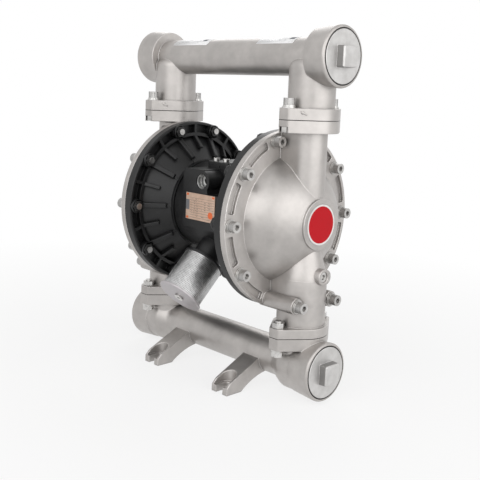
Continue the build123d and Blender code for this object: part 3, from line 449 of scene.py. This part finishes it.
def label_paper():
    """White film with faint ruled lines and a small grey block; nothing written."""
    finish = Finish("label_film", Coat_Weight=0.25, Coat_Roughness=0.2)
    x, y, z = finish.parts(finish.place((0, 0, discharge_z)))
    turn = y.math("ARCTAN2", z)
    tone = finish.noise(finish.place(), 120, 3, 0.6)
    film = finish.blend(tone, (0.92, 0.92, 0.93), (0.96, 0.96, 0.96))
    speck = finish.noise(finish.stretched((0.25, 1, 1)), 1500, 1, 0.5)
    rows = abs((turn / 0.11).math("FRACT") - 0.5) < 0.2
    left, right = ((start + end) / 2 for start, end in LABEL_ENDS.values())
    along = (x - left) * (x < 0) + (x - right) * (x > 0)
    body = (along > -25 * MM) * (along < 15 * MM) * (turn > -0.72) * (turn < 0.1)
    block = (along > 18 * MM) * (along < 26 * MM) * (turn > -0.5) * (turn < -0.16)
    film = finish.blend(rows * body * (speck > 0.5) * 0.8, film, (0.30, 0.31, 0.33))
    film = finish.blend(block, film, (0.12, 0.13, 0.15))
    finish.feed("Base Color", film)
    finish.feed("Roughness", finish.spread(tone, 0.3, 0.7, 0.36, 0.46))
    finish.bump(tone, 0.02 * MM, 0.3)
    return finish.material


def knurled_steel(name, round_chambers):
    """Socket screws: bright steel, the side of each head knurled. The heads stand along X round the
    chambers, or along Z on the flanges."""
    finish = Finish(name, Metallic=1.0)
    here = finish.place((0, 0, shaft_z))
    x, y, z = finish.parts(here)
    if round_chambers:
        step = tau / CHAMBER_BOLTS
        sector = ((y.math("ARCTAN2", z) / step).math("FRACT") - 0.5) * step
        away = (y * y + z * z) ** 0.5
        u = away * sector.math("COSINE") - BOLT_CIRCLE_R
        v = away * sector.math("SINE")
    else:
        u = abs(x) - LEG_X
        v = abs(y) - FLANGE_BOLT_Y
    out = (u * u + v * v) ** 0.5
    ridges = 36
    ridge = abs((v.math("ARCTAN2", u) * (ridges / tau)).math("FRACT") - 0.5)
    side = finish.spread(out, 6.2 * MM, 6.4 * MM) * (out < 6.7 * MM)
    smear = finish.noise(here, 160, 3, 0.6)
    skin = finish.blend(finish.spread(smear, 0.35, 0.65), (0.44, 0.43, 0.42), (0.56, 0.55, 0.535))
    # painted shade: hollows found by ambient occlusion are darkened
    skin = finish.blend(finish.hollow(2.5 * MM) * 0.85, skin, (0.03, 0.03, 0.03))
    # painted shade: the grooves of the knurl are darkened
    finish.feed("Base Color", finish.blend(side * (ridge < 0.2) * 0.75, skin, (0.12, 0.12, 0.12)))
    finish.feed("Roughness", finish.spread(smear, 0.3, 0.8, 0.26, 0.38))
    finish.bump(ridge * side, 0.4 * MM, 0.8, 0.3 * MM)
    return finish.material


castings = blasted_steel("cast_steel", (0.50, 0.476, 0.458), (0.385, 0.366, 0.352), 0.42, 0.80, 1.5 * MM)
plug_cast = plug_skin()
black_cast = satin_black("black_casting", (0.010, 0.010, 0.0105), 0.40, 0.7 * MM)
black_plastic = satin_black("black_plastic", (0.012, 0.012, 0.013), 0.35, 0.4 * MM)
bright_steel = turned_metal("bright_steel", (0.64, 0.63, 0.615), (0.50, 0.49, 0.475), 0.28, 0.3 * MM)
nut_steel = turned_metal("nut_steel", (0.62, 0.61, 0.59), (0.45, 0.44, 0.43), 0.30, 0.3 * MM)
# painted shade: the chamber nuts are near black so each eye reads as a shaded hole
nuts_painted_as_hole_shade = satin_black("nuts_painted_as_hole_shade", (0.02, 0.02, 0.02), 0.4, 0.4 * MM)
machined_steel = turned_metal("machined_steel", (0.70, 0.70, 0.70), (0.60, 0.60, 0.60), 0.30, 0.2 * MM)
muffler_metal = turned_metal("muffler_metal", (0.60, 0.60, 0.60), (0.46, 0.46, 0.46), 0.32, 0.2 * MM)
muffler_disc = turned_metal("muffler_disc", (0.50, 0.475, 0.485), (0.44, 0.42, 0.43), 0.42, 0.5 * MM)
round_bolts = knurled_steel("flange_screws_round", round_chambers=True)
upright_bolts = knurled_steel("flange_screws_upright", round_chambers=False)
badge_red = badge_enamel()
thread_steel = plain("thread_steel", (0.74, 0.74, 0.73), 0.34, 0.9)
rubber = plain("rubber", (0.02, 0.02, 0.021), 0.6)
valve_white = plain("valve_ball", (0.86, 0.86, 0.84), 0.35)
bush_plastic = plain("bush_plastic", (0.74, 0.70, 0.60), 0.4)
felt = plain("muffler_felt", (0.07, 0.068, 0.066), 0.9, scale=2500)
plate_print = name_plate_print()
label_film = label_paper()

finish_of = {
    castings: ["discharge_manifold", "suction_manifold", "left_outer_chamber", "right_outer_chamber"],
    plug_cast: ["discharge_plug", "suction_plug"],
    black_cast: ["left_air_chamber", "right_air_chamber", "centre_body", "valve_cover"],
    black_plastic: ["muffler_nipple", "muffler_ring"],
    muffler_metal: ["muffler_shell"],
    muffler_disc: ["muffler_cap"],
    nut_steel: ["discharge_flange_nuts", "suction_flange_nuts"],
    nuts_painted_as_hole_shade: ["chamber_nuts"],
    round_bolts: ["chamber_bolts", "long_chamber_bolts"],
    upright_bolts: ["discharge_flange_bolts"],
    badge_red: ["left_badge", "right_badge"],
    rubber: [
        "left_diaphragm",
        "right_diaphragm",
        "seat_rings",
        "shaft_seals",
        "spool_seals",
        "centre_gaskets",
    ],
    valve_white: [n for n in nodes if n.endswith("_ball")],
    bush_plastic: ["shaft_bushes"],
    felt: ["muffler_core"],
    plate_print: ["name_plate"],
    machined_steel: [
        "diaphragm_shaft",
        "plate_bolts",
        "valve_sleeve",
        "valve_spool",
        "valve_end_caps",
        "valve_seats",
        "pilot_rod",
        "left_inner_plate",
        "right_inner_plate",
        "left_outer_plate",
        "right_outer_plate",
    ],
}
material_of = {name: material for material, names in finish_of.items() for name in names}
for name, node in nodes.items():
    node.data.materials.clear()
    node.data.materials.append(material_of.get(name, bright_steel))


# ================================================================ pieces
def piece(name, mesh, material, body="pump_body"):
    """Turns a bmesh into a finished object that rides on a body, the standing one unless named."""
    data = bpy.data.meshes.new(name)
    mesh.to_mesh(data)
    mesh.free()
    data.materials.append(material)
    data.shade_smooth()
    thing = bpy.data.objects.new(name, data)
    bpy.context.scene.collection.objects.link(thing)
    if body:
        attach(thing, body)
    return thing


def everything(mesh):
    """All that a bmesh holds, for operators that take geometry."""
    return mesh.verts[:] + mesh.edges[:] + mesh.faces[:]


def points(geometry):
    """Points among what an operator gives back."""
    return [item for item in geometry if isinstance(item, bmesh.types.BMVert)]


def lines(geometry):
    """Edges among what an operator gives back."""
    return [item for item in geometry if isinstance(item, bmesh.types.BMEdge)]


def edges_between(mesh, verts):
    """Edges with both ends among these points."""
    return [e for e in mesh.edges if all(v in verts for v in e.verts)]


def push_faces(mesh, faces, way):
    """Extrudes faces by a way; gives the points of their new place."""
    grown = points(bmesh.ops.extrude_face_region(mesh, geom=faces)["geom"])
    bmesh.ops.translate(mesh, vec=way, verts=grown)
    return grown


def push_edges(mesh, edges, way):
    """Extrudes edges by a way; gives what has grown."""
    grown = bmesh.ops.extrude_edge_only(mesh, edges=edges)["geom"]
    bmesh.ops.translate(mesh, vec=way, verts=points(grown))
    return grown


def round_edges(mesh, edges, radius, segments=2):
    """Takes edges off by a radius, in that many steps."""
    bmesh.ops.bevel(
        mesh, geom=edges, offset=radius, segments=segments, profile=0.5, affect="EDGES", material=-1
    )


def turn_over(mesh, measure):
    """Turns the faces of an open sheet over unless they point the way that measure finds positive."""
    bmesh.ops.recalc_face_normals(mesh, faces=mesh.faces)
    if sum(measure(face) for face in mesh.faces) < 0:
        bmesh.ops.reverse_faces(mesh, faces=mesh.faces)


def onto_both_chambers(mesh):
    """Repeats a shape at every chamber bolt's angle, then mirrors the ring to the other chamber."""
    bmesh.ops.spin(
        mesh,
        geom=everything(mesh),
        cent=(0, 0, shaft_z),
        axis=(1, 0, 0),
        angle=tau * (CHAMBER_BOLTS - 1) / CHAMBER_BOLTS,
        steps=CHAMBER_BOLTS - 1,
        use_duplicate=True,
    )
    bmesh.ops.mirror(mesh, geom=everything(mesh), axis="X", merge_dist=0.001 * MM)
    bmesh.ops.recalc_face_normals(mesh, faces=mesh.faces)


def perforated_sheet():
    """Muffler sheet: one cell with a round hole, spun round the core and stacked in staggered rows."""
    cells, rows = 84, 24
    flat_r = MUFFLER_R * cos(pi / cells)
    half_w = flat_r * tan(pi / cells)
    half_h = (MUFFLER_LENGTH - 2 * MUFFLER_BAND) / rows / 2
    mesh = bmesh.new()
    bmesh.ops.create_circle(mesh, segments=8, radius=MUFFLER_HOLE_R)
    rim = bmesh.ops.create_circle(mesh, segments=8, radius=half_w)["verts"]
    for corner in rim:
        reach = max(abs(corner.co.x), abs(corner.co.y)) / half_w
        corner.co = (corner.co.x / reach, corner.co.y / reach * half_h / half_w, 0)
    bmesh.ops.bridge_loops(mesh, edges=mesh.edges[:])
    stand = Matrix.Translation((0, -flat_r, MUFFLER_BAND + half_h)) @ Matrix.Rotation(radians(90), 4, "X")
    bmesh.ops.transform(mesh, matrix=stand, verts=mesh.verts)
    bmesh.ops.spin(
        mesh,
        geom=everything(mesh),
        cent=(0, 0, 0),
        axis=(0, 0, 1),
        angle=tau * (cells - 1) / cells,
        steps=cells - 1,
        use_duplicate=True,
    )
    row = everything(mesh)
    for number in range(1, rows):
        copy = bmesh.ops.duplicate(mesh, geom=row)["geom"]
        stagger = Matrix.Rotation(pi / cells * number, 4, "Z")
        rise = Matrix.Translation((0, 0, 2 * half_h * number))
        bmesh.ops.transform(mesh, matrix=rise @ stagger, verts=points(copy))
    bmesh.ops.remove_doubles(mesh, verts=mesh.verts, dist=0.1 * MM)
    ends = [e for e in mesh.edges if e.is_boundary]
    for height, way in ((MUFFLER_BAND, -MUFFLER_BAND), (MUFFLER_LENGTH - MUFFLER_BAND, MUFFLER_BAND)):
        loop = [e for e in ends if all(abs(v.co.z - height) < 0.01 * MM for v in e.verts)]
        push_edges(mesh, loop, (0, 0, way))
    bmesh.ops.recalc_face_normals(mesh, faces=mesh.faces)
    tilt = Matrix.Rotation(radians(180 - MUFFLER_TILT), 4, "X")
    place = Matrix.Translation((0, -MUFFLER_Y, shaft_z - MUFFLER_DROP)) @ tilt
    bmesh.ops.transform(mesh, matrix=place, verts=mesh.verts)
    sheet = piece("perforated_sheet", mesh, muffler_metal)
    sheet.data.shade_flat()
    wall = sheet.modifiers.new("sheet", "SOLIDIFY")
    wall.thickness = 0.6 * MM
    wall.offset = -1
    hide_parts("muffler_shell")


def tube_label(name, start_x, end_x):
    """Film stuck on the top of the discharge tube: a strip spun round the tube's axis."""
    mesh = bmesh.new()
    film_r = TUBE_R + 0.02 * MM
    first, last = (mesh.verts.new((x, 0, film_r)) for x in (start_x, end_x))
    strip = mesh.edges.new((first, last))
    to_front = Matrix.Rotation(radians(LABEL_FRONT), 3, "X")
    bmesh.ops.rotate(mesh, verts=mesh.verts, cent=(0, 0, 0), matrix=to_front)
    bmesh.ops.spin(
        mesh,
        geom=[first, last, strip],
        cent=(0, 0, 0),
        axis=(1, 0, 0),
        angle=-radians(LABEL_FRONT + LABEL_BACK),
        steps=20,
    )
    corners = [v for v in mesh.verts if len(v.link_edges) == 2]
    bmesh.ops.bevel(
        mesh, geom=corners, offset=1.6 * MM, segments=4, profile=0.5, affect="VERTICES", material=-1
    )
    bmesh.ops.translate(mesh, vec=(0, 0, discharge_z), verts=mesh.verts)
    turn_over(mesh, lambda face: face.normal.z)
    label = piece(name, mesh, label_film)
    wall = label.modifiers.new("film", "SOLIDIFY")
    wall.thickness = 0.12 * MM
    wall.offset = 1


def thread(name, place, radius, length, depth, pitch, material):
    """Inside thread: a zigzag line wound round the bore, one pitch higher at each turn."""
    mesh = bmesh.new()
    turns = int(length / pitch) - 1
    steps = 48
    corners = [mesh.verts.new((radius - depth * (n % 2), 0, pitch * n / 2)) for n in range(2 * turns + 1)]
    line = [mesh.edges.new(pair) for pair in zip(corners, corners[1:])]
    bmesh.ops.spin(
        mesh,
        geom=corners + line,
        cent=(0, 0, 0),
        axis=(0, 0, 1),
        dvec=(0, 0, pitch / steps),
        angle=tau,
        steps=steps,
    )
    bmesh.ops.remove_doubles(mesh, verts=mesh.verts, dist=0.02 * MM)
    turn_over(mesh, lambda face: -face.normal.xy.dot(face.calc_center_median().xy))
    bmesh.ops.transform(mesh, matrix=place, verts=mesh.verts)
    piece(name, mesh, material)


def inlet_floor(place):
    """Step in the air inlet, where its thread ends and its passage goes on."""
    mesh = bmesh.new()
    bmesh.ops.create_circle(mesh, segments=40, radius=INLET_THREAD_R + 0.05 * MM)
    bmesh.ops.create_circle(mesh, segments=40, radius=INLET_PASSAGE_R)
    bmesh.ops.bridge_loops(mesh, edges=mesh.edges[:])
    thread_end = Matrix.Translation((0, 0, INLET_THREAD_LENGTH))
    bmesh.ops.transform(mesh, matrix=place @ thread_end, verts=mesh.verts)
    turn_over(mesh, lambda face: -face.normal.y)
    piece("inlet_floor", mesh, thread_steel)


def port_plug(name, axis_z, node):
    """Screwed plug: a round disc over the hub's mouth with a square head on it."""
    mesh = bmesh.new()
    sunk = 0.5 * MM
    bmesh.ops.create_circle(mesh, segments=96, radius=PLUG_R, cap_ends=True)
    top = push_faces(mesh, mesh.faces[:], (0, 0, PLUG_DISC_T))
    head = bmesh.ops.create_grid(mesh, x_segments=1, y_segments=1, size=PLUG_HEAD_W / 2)["verts"]
    bmesh.ops.translate(mesh, vec=(0, 0, PLUG_DISC_T - sunk), verts=head)
    lid = push_faces(mesh, head[0].link_faces[:], (0, 0, PLUG_HEAD_H + sunk))
    bmesh.ops.scale(mesh, vec=(0.96, 0.96, 1), verts=lid)
    bmesh.ops.recalc_face_normals(mesh, faces=mesh.faces)
    round_edges(mesh, [e for e in mesh.edges if any(v in lid for v in e.verts)], 1.6 * MM, 3)
    round_edges(mesh, edges_between(mesh, top), 0.5 * MM)
    facing_right = Matrix.Rotation(radians(90), 4, "Y")
    place = Matrix.Translation((PLUG_FACE_X - PLUG_DISC_T, 0, axis_z)) @ facing_right
    bmesh.ops.transform(mesh, matrix=place, verts=mesh.verts)
    plug = piece(name, mesh, plug_cast)
    plug.data.shade_flat()
    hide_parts(node)


def drain_boss(name, place):
    """Boss on the suction neck, open for its plug; it reaches back into the neck's wall."""
    boss_length, bore_depth = 22 * MM, 4 * MM
    mesh = bmesh.new()
    outside = bmesh.ops.create_circle(mesh, segments=32, radius=DRAIN_R)["verts"]
    inside = bmesh.ops.create_circle(mesh, segments=32, radius=DRAIN_BORE_R)["verts"]
    bmesh.ops.bridge_loops(mesh, edges=mesh.edges[:])
    push_edges(mesh, edges_between(mesh, outside), (0, 0, -boss_length))
    push_edges(mesh, edges_between(mesh, inside), (0, 0, -bore_depth))
    bmesh.ops.recalc_face_normals(mesh, faces=mesh.faces)
    lips = edges_between(mesh, outside + inside)
    round_edges(mesh, [e for e in lips if e.calc_face_angle(0) > 1], 0.9 * MM, 3)
    bmesh.ops.transform(mesh, matrix=place, verts=mesh.verts)
    piece(name, mesh, castings)


def drain_key(name, place):
    """Face of the drain plug, with its hexagon socket, sunk in the boss."""
    sunk, socket_depth = 1.6 * MM, 2.0 * MM
    mesh = bmesh.new()
    bmesh.ops.create_circle(mesh, segments=24, radius=DRAIN_BORE_R + 0.05 * MM)
    socket = bmesh.ops.create_circle(mesh, segments=6, radius=DRAIN_SOCKET_R)["verts"]
    bmesh.ops.bridge_loops(mesh, edges=mesh.edges[:])
    wall = push_edges(mesh, edges_between(mesh, socket), (0, 0, -socket_depth))
    bmesh.ops.contextual_create(mesh, geom=lines(wall))
    bmesh.ops.recalc_face_normals(mesh, faces=mesh.faces)
    bmesh.ops.transform(mesh, matrix=place @ Matrix.Translation((0, 0, -sunk)), verts=mesh.verts)
    key = piece(name, mesh, bright_steel)
    key.data.shade_flat()


def neck_swell(name, side):
    """Smooth shoulder of the suction neck over the ball's cage: a curve of radius and height, spun
    half round the leg's axis, with straight flanks towards the dome."""
    mesh = bmesh.new()
    curve = [(28.9, 112), (29.2, 118), (29.2, 138), (29.0, 144), (28.2, 149)]
    curve += [(26.6, 155), (24.8, 161), (22.9, 168), (21.2, 175), (18.9, 184)]
    corners = [mesh.verts.new((side * LEG_X, -r * MM, z * MM)) for r, z in curve]
    line = [mesh.edges.new(pair) for pair in zip(corners, corners[1:])]
    bmesh.ops.spin(
        mesh,
        geom=corners + line,
        cent=(side * LEG_X, 0, 0),
        axis=(0, 0, 1),
        angle=side * pi,
        steps=36,
    )
    at_leg = [v for v in mesh.verts if abs(v.co.x - side * LEG_X) < 0.01 * MM]
    ends = [e for e in edges_between(mesh, at_leg) if e.is_boundary]
    push_edges(mesh, ends, (-side * SWELL_FLANK, 0, 0))
    turn_over(mesh, lambda face: face.normal.y * face.calc_center_median().y)
    piece(name, mesh, castings)


def nut_eyes():
    """Round eyes cast on the air chambers' rims, one about each chamber nut."""
    mesh = bmesh.new()
    bmesh.ops.create_circle(mesh, segments=32, radius=EYE_R)
    bmesh.ops.create_circle(mesh, segments=32, radius=EYE_BORE_R)
    bmesh.ops.bridge_loops(mesh, edges=mesh.edges[:])
    top = push_faces(mesh, mesh.faces[:], (0, 0, EYE_LENGTH))
    bmesh.ops.recalc_face_normals(mesh, faces=mesh.faces)
    lips = [e for e in edges_between(mesh, top) if e.calc_face_angle(0) > 1]
    round_edges(mesh, lips, 0.7 * MM)
    place = Matrix.Translation((EYE_X, 0, shaft_z)) @ Matrix.Rotation(radians(FIRST_BOLT), 4, "X")
    place = place @ Matrix.Translation((0, 0, EYE_CIRCLE_R)) @ Matrix.Rotation(radians(-90), 4, "Y")
    bmesh.ops.transform(mesh, matrix=place, verts=mesh.verts)
    onto_both_chambers(mesh)
    piece("nut_eyes", mesh, black_cast)


def chamber_ribs(name, outline, width, first_angle):
    """Tall ribs on both air chambers' cones, all from one flat rib."""
    mesh = bmesh.new()
    mesh.faces.new([mesh.verts.new((x * MM, -width / 2, r * MM)) for x, r in outline])
    push_faces(mesh, mesh.faces[:], (0, width, 0))
    bmesh.ops.recalc_face_normals(mesh, faces=mesh.faces)
    in_view = [e for e in mesh.edges if max(v.co.x for v in e.verts) < RIM_X]
    round_edges(mesh, [e for e in in_view if e.calc_face_angle(0) > 0.2], 1.0 * MM)
    stand = Matrix.Translation((0, 0, shaft_z)) @ Matrix.Rotation(radians(first_angle), 4, "X")
    bmesh.ops.transform(mesh, matrix=stand, verts=mesh.verts)
    onto_both_chambers(mesh)
    ribs = piece(name, mesh, black_cast)
    ribs.data.shade_flat()


def flexing_diaphragm(node):
    """Rubber diaphragm cut into sectors: each a wedge from its clamped rim to the plates on the shaft."""
    centre = Vector((middle(node).x, 0, shaft_z))
    step = tau / SECTORS
    for number in range(SECTORS):
        mesh = bmesh.new()
        mesh.from_mesh(nodes[node].data)
        bmesh.ops.remove_doubles(mesh, verts=mesh.verts, dist=0.005 * MM)
        for turn, way in ((number * step, 1), ((number + 1) * step, -1)):
            cut = bmesh.ops.bisect_plane(
                mesh,
                geom=everything(mesh),
                plane_co=centre,
                plane_no=(0, -way * sin(turn), way * cos(turn)),
                clear_inner=True,
            )["geom_cut"]
            bmesh.ops.holes_fill(mesh, edges=lines(cut))
        sector = piece(f"{node}_sector_{number + 1}", mesh, rubber, body=None)
        sector.data.shade_flat()
        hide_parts(node)
        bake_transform(sector)


def flow_arrow(name, side):
    """Cast arrow that stands out of the discharge flange's slanting front side: a three-cornered
    head and a tail."""
    head_r, head_y = 2.6 * MM, 2.0 * MM
    tail_w, tail_length, tail_y = 1.5 * MM, 5.0 * MM, -1.4 * MM
    relief = 1.1 * MM
    mesh = bmesh.new()
    bmesh.ops.create_circle(mesh, segments=3, radius=head_r, cap_ends=True)
    bmesh.ops.translate(mesh, vec=(0, head_y, 0), verts=mesh.verts)
    tail = bmesh.ops.create_grid(mesh, x_segments=1, y_segments=1, size=0.5)["verts"]
    bmesh.ops.scale(mesh, vec=(tail_w, tail_length, 1), verts=tail)
    bmesh.ops.translate(mesh, vec=(0, tail_y, 0), verts=tail)
    top = push_faces(mesh, mesh.faces[:], (0, 0, relief))
    bmesh.ops.recalc_face_normals(mesh, faces=mesh.faces)
    round_edges(mesh, edges_between(mesh, top), 0.35 * MM)
    turn = Matrix.Rotation(radians(ARROW_WAY), 4, "Z") @ Matrix.Rotation(radians(90), 4, "X")
    place = Matrix.Translation((side * LEG_X + ARROW_X, -ARROW_Y, ARROW_Z)) @ turn
    lean = Matrix.Rotation(radians(ARROW_LEAN), 4, "Z")
    bmesh.ops.transform(mesh, matrix=place @ lean, verts=mesh.verts)
    piece(name, mesh, castings)


perforated_sheet()
for label_name, (start_x, end_x) in LABEL_ENDS.items():
    tube_label(label_name, start_x, end_x)

inwards = Matrix.Rotation(radians(-90), 4, "X")
inlet_place = Matrix.Translation((0, -FRONT_Y + 1.0 * MM, shaft_z + INLET_Z)) @ inwards
thread(
    "inlet_thread",
    inlet_place,
    INLET_THREAD_R,
    INLET_THREAD_LENGTH,
    depth=0.8 * MM,
    pitch=1.8 * MM,
    material=thread_steel,
)
inlet_floor(inlet_place)

ports = {"discharge": discharge_z, "suction": suction_z}
to_right = Matrix.Rotation(radians(90), 4, "Y")
for port, axis_z in ports.items():
    thread(
        port + "_port_thread",
        Matrix.Translation((-PORT_THREAD_X, 0, axis_z)) @ to_right,
        PORT_THREAD_R,
        PORT_THREAD_LENGTH,
        depth=1.1 * MM,
        pitch=2.2 * MM,
        material=castings,
    )
for port, axis_z in ports.items():
    port_plug(port + "_port_plug", axis_z, port + "_plug")

sides = {"left": -1, "right": 1}
for side_name, side in sides.items():
    outwards = Matrix.Rotation(radians(90 * side), 4, "Y")
    drain_place = Matrix.Translation((side * DRAIN_X, 0, shaft_z - DRAIN_DROP)) @ outwards
    drain_boss("drain_boss_" + side_name, drain_place)
    drain_key("drain_key_" + side_name, drain_place)
nut_eyes()
chamber_ribs("long_ribs", LONG_RIB, LONG_RIB_W, FIRST_BOLT)
chamber_ribs("short_ribs", SHORT_RIB, SHORT_RIB_W, 0)
for side_name in sides:
    flexing_diaphragm(side_name + "_diaphragm")
for side_name, side in sides.items():
    neck_swell("neck_swell_" + side_name, side)
for side_name, side in sides.items():
    flow_arrow("flow_arrow_" + side_name, side)


# ================================================================ studio
def studio():
    """Pale floor, white surroundings and three soft lamps."""
    floor_half = 6.0
    mesh = bmesh.new()
    bmesh.ops.create_grid(mesh, x_segments=1, y_segments=1, size=floor_half)
    data = bpy.data.meshes.new("floor")
    mesh.to_mesh(data)
    mesh.free()
    floor = bpy.data.objects.new("floor", data)
    floor.location.z = -0.5 * MM
    bpy.context.scene.collection.objects.link(floor)

    paper = Finish("floor_paper", Roughness=0.9)
    paper.feed("Base Color", (0.90, 0.90, 0.90))
    white = paper.add("ShaderNodeEmission", values={"Color": (1, 1, 1), "Strength": 1.0})
    path = paper.add("ShaderNodeLightPath", output="Is Camera Ray")
    other = Signal(paper, path.socket.node.outputs["Is Glossy Ray"])
    through = Signal(paper, path.socket.node.outputs["Is Transmission Ray"])
    x, y, _ = paper.parts(paper.place())
    far = paper.spread((x * x + y * y) ** 0.5, 0.25, 0.9, 0.78, 1.0)
    seen = (path * far).math("MAXIMUM", other * 0.92).math("MAXIMUM", through)
    mixed = paper.add(
        "ShaderNodeMixShader",
        values={0: seen, 1: Signal(paper, paper.shader.outputs[0]), 2: white},
    )
    paper.link(mixed, paper.tree.nodes["Material Output"].inputs["Surface"])
    data.materials.append(paper.material)

    world = bpy.data.worlds.new("studio")
    bpy.context.scene.world = world
    world.use_nodes = True
    tree = world.node_tree
    room = tree.nodes["Background"]
    room.inputs["Color"].default_value = (1.0, 0.995, 0.985, 1)
    room.inputs["Strength"].default_value = 0.42
    backdrop = tree.nodes.new("ShaderNodeBackground")
    backdrop.inputs["Color"].default_value = (1, 1, 1, 1)
    backdrop.inputs["Strength"].default_value = 1.0
    path = tree.nodes.new("ShaderNodeLightPath")
    seen = path.outputs["Is Camera Ray"]
    for ray in ("Is Glossy Ray", "Is Transmission Ray"):
        either = tree.nodes.new("ShaderNodeMath")
        either.operation = "MAXIMUM"
        tree.links.new(seen, either.inputs[0])
        tree.links.new(path.outputs[ray], either.inputs[1])
        seen = either.outputs[0]
    mix = tree.nodes.new("ShaderNodeMixShader")
    tree.links.new(seen, mix.inputs[0])
    tree.links.new(room.outputs[0], mix.inputs[1])
    tree.links.new(backdrop.outputs[0], mix.inputs[2])
    tree.links.new(mix.outputs[0], tree.nodes["World Output"].inputs["Surface"])

    target = Vector((0, 0, shaft_z))
    for name, place, size, power in (
        ("key_lamp", (0.5, -1.5, 1.0), 1.6, 12),
        ("side_lamp", (1.7, -0.1, 0.42), 2.2, 23),
        ("back_lamp", (-1.1, 1.2, 1.3), 1.0, 6),
    ):
        data = bpy.data.lights.new(name, "AREA")
        data.size = size
        data.energy = power
        lamp = bpy.data.objects.new(name, data)
        lamp.location = place
        lamp.rotation_euler = (target - Vector(place)).to_track_quat("-Z", "Y").to_euler()
        bpy.context.scene.collection.objects.link(lamp)
    bpy.context.scene.view_settings.view_transform = "Standard"


studio()
